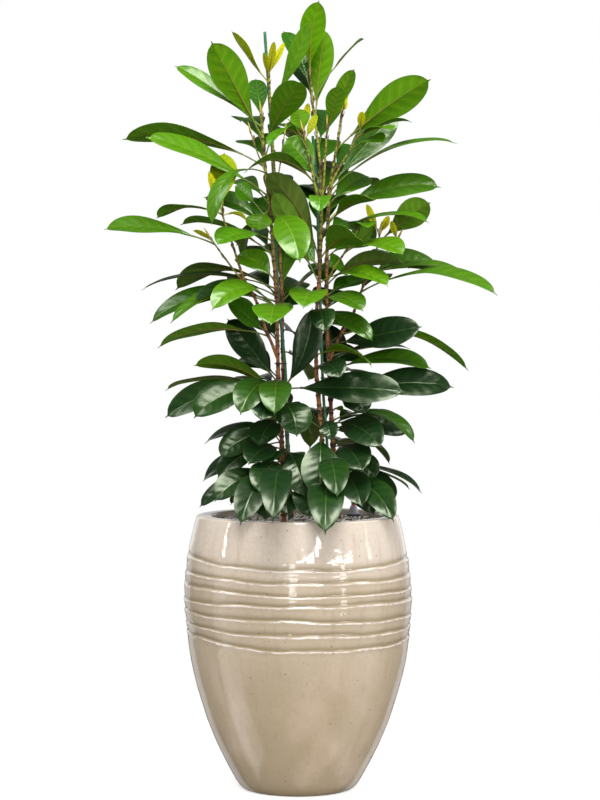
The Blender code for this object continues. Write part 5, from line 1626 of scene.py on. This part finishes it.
class FIG_OT_gauge(bpy.types.Operator):
    """Make the water gauge: cone, clear tube and red float"""
    bl_idname = "fig.gauge"
    bl_label = "Water gauge"

    def execute(self, context):
        make_gauge(context.scene.fig_colours)
        return {"FINISHED"}


class FIG_OT_canes(bpy.types.Operator):
    """Make the two green canes and the wire ties that hold the stems to them"""
    bl_idname = "fig.canes"
    bl_label = "Canes and ties"

    def execute(self, context):
        make_canes(context.scene.fig_sizes, context.scene.fig_colours)
        make_ties()
        return {"FINISHED"}


class FIG_OT_wood(bpy.types.Operator):
    """Make the stems with their leaf scars, leaf stalks and bud sheaths"""
    bl_idname = "fig.wood"
    bl_label = "Stems"

    def execute(self, context):
        colours = context.scene.fig_colours
        finishes = [bark_finish(colours), stalk_finish(colours), sheath_finish(colours)]
        for node in STEMS:
            make_wood(node, context.scene.fig_sizes, finishes)
        return {"FINISHED"}


class FIG_OT_leaves(bpy.types.Operator):
    """Make every leaf blade, with its own bend, veins and age"""
    bl_idname = "fig.leaves"
    bl_label = "Leaves"

    def execute(self, context):
        colours = context.scene.fig_colours
        finishes = [leaf_finish(colours), underside_finish(colours)]
        for node in STEMS:
            make_leaves(node, context.scene.fig_sizes, finishes)
        return {"FINISHED"}


class FIG_OT_stage(bpy.types.Operator):
    """Make the pale floor, the soft studio lights and the camera"""
    bl_idname = "fig.stage"
    bl_label = "Stage"

    def execute(self, context):
        make_stage(context.scene.fig_colours)
        return {"FINISHED"}


OPERATORS = (FIG_OT_stage, FIG_OT_planter, FIG_OT_grit, FIG_OT_gauge, FIG_OT_canes, FIG_OT_wood,
             FIG_OT_leaves)


class FIG_PT_panel(bpy.types.Panel):
    """Lists the pieces of the fig and their sizes and colours"""
    bl_idname = "FIG_PT_panel"
    bl_label = "Potted fig"
    bl_space_type = "VIEW_3D"
    bl_region_type = "UI"
    bl_category = "Fig"

    def draw(self, context):
        for operator in OPERATORS:
            self.layout.operator(operator.bl_idname)
        for group in (context.scene.fig_sizes, context.scene.fig_colours):
            column = self.layout.column()
            for key in group.__annotations__:
                column.prop(group, key)


CLASSES = (FigSizes, FigColours, *OPERATORS, FIG_PT_panel)


def register():
    for kind in CLASSES:
        bpy.utils.register_class(kind)
    bpy.types.Scene.fig_sizes = PointerProperty(type=FigSizes)
    bpy.types.Scene.fig_colours = PointerProperty(type=FigColours)


def unregister():
    del bpy.types.Scene.fig_colours
    del bpy.types.Scene.fig_sizes
    for kind in reversed(CLASSES):
        bpy.utils.unregister_class(kind)


def main():
    register()
    for operator in OPERATORS:
        family, name = operator.bl_idname.split(".")
        getattr(getattr(bpy.ops, family), name)()
    bpy.context.view_layer.update()


if __name__ == "__main__":
    main()
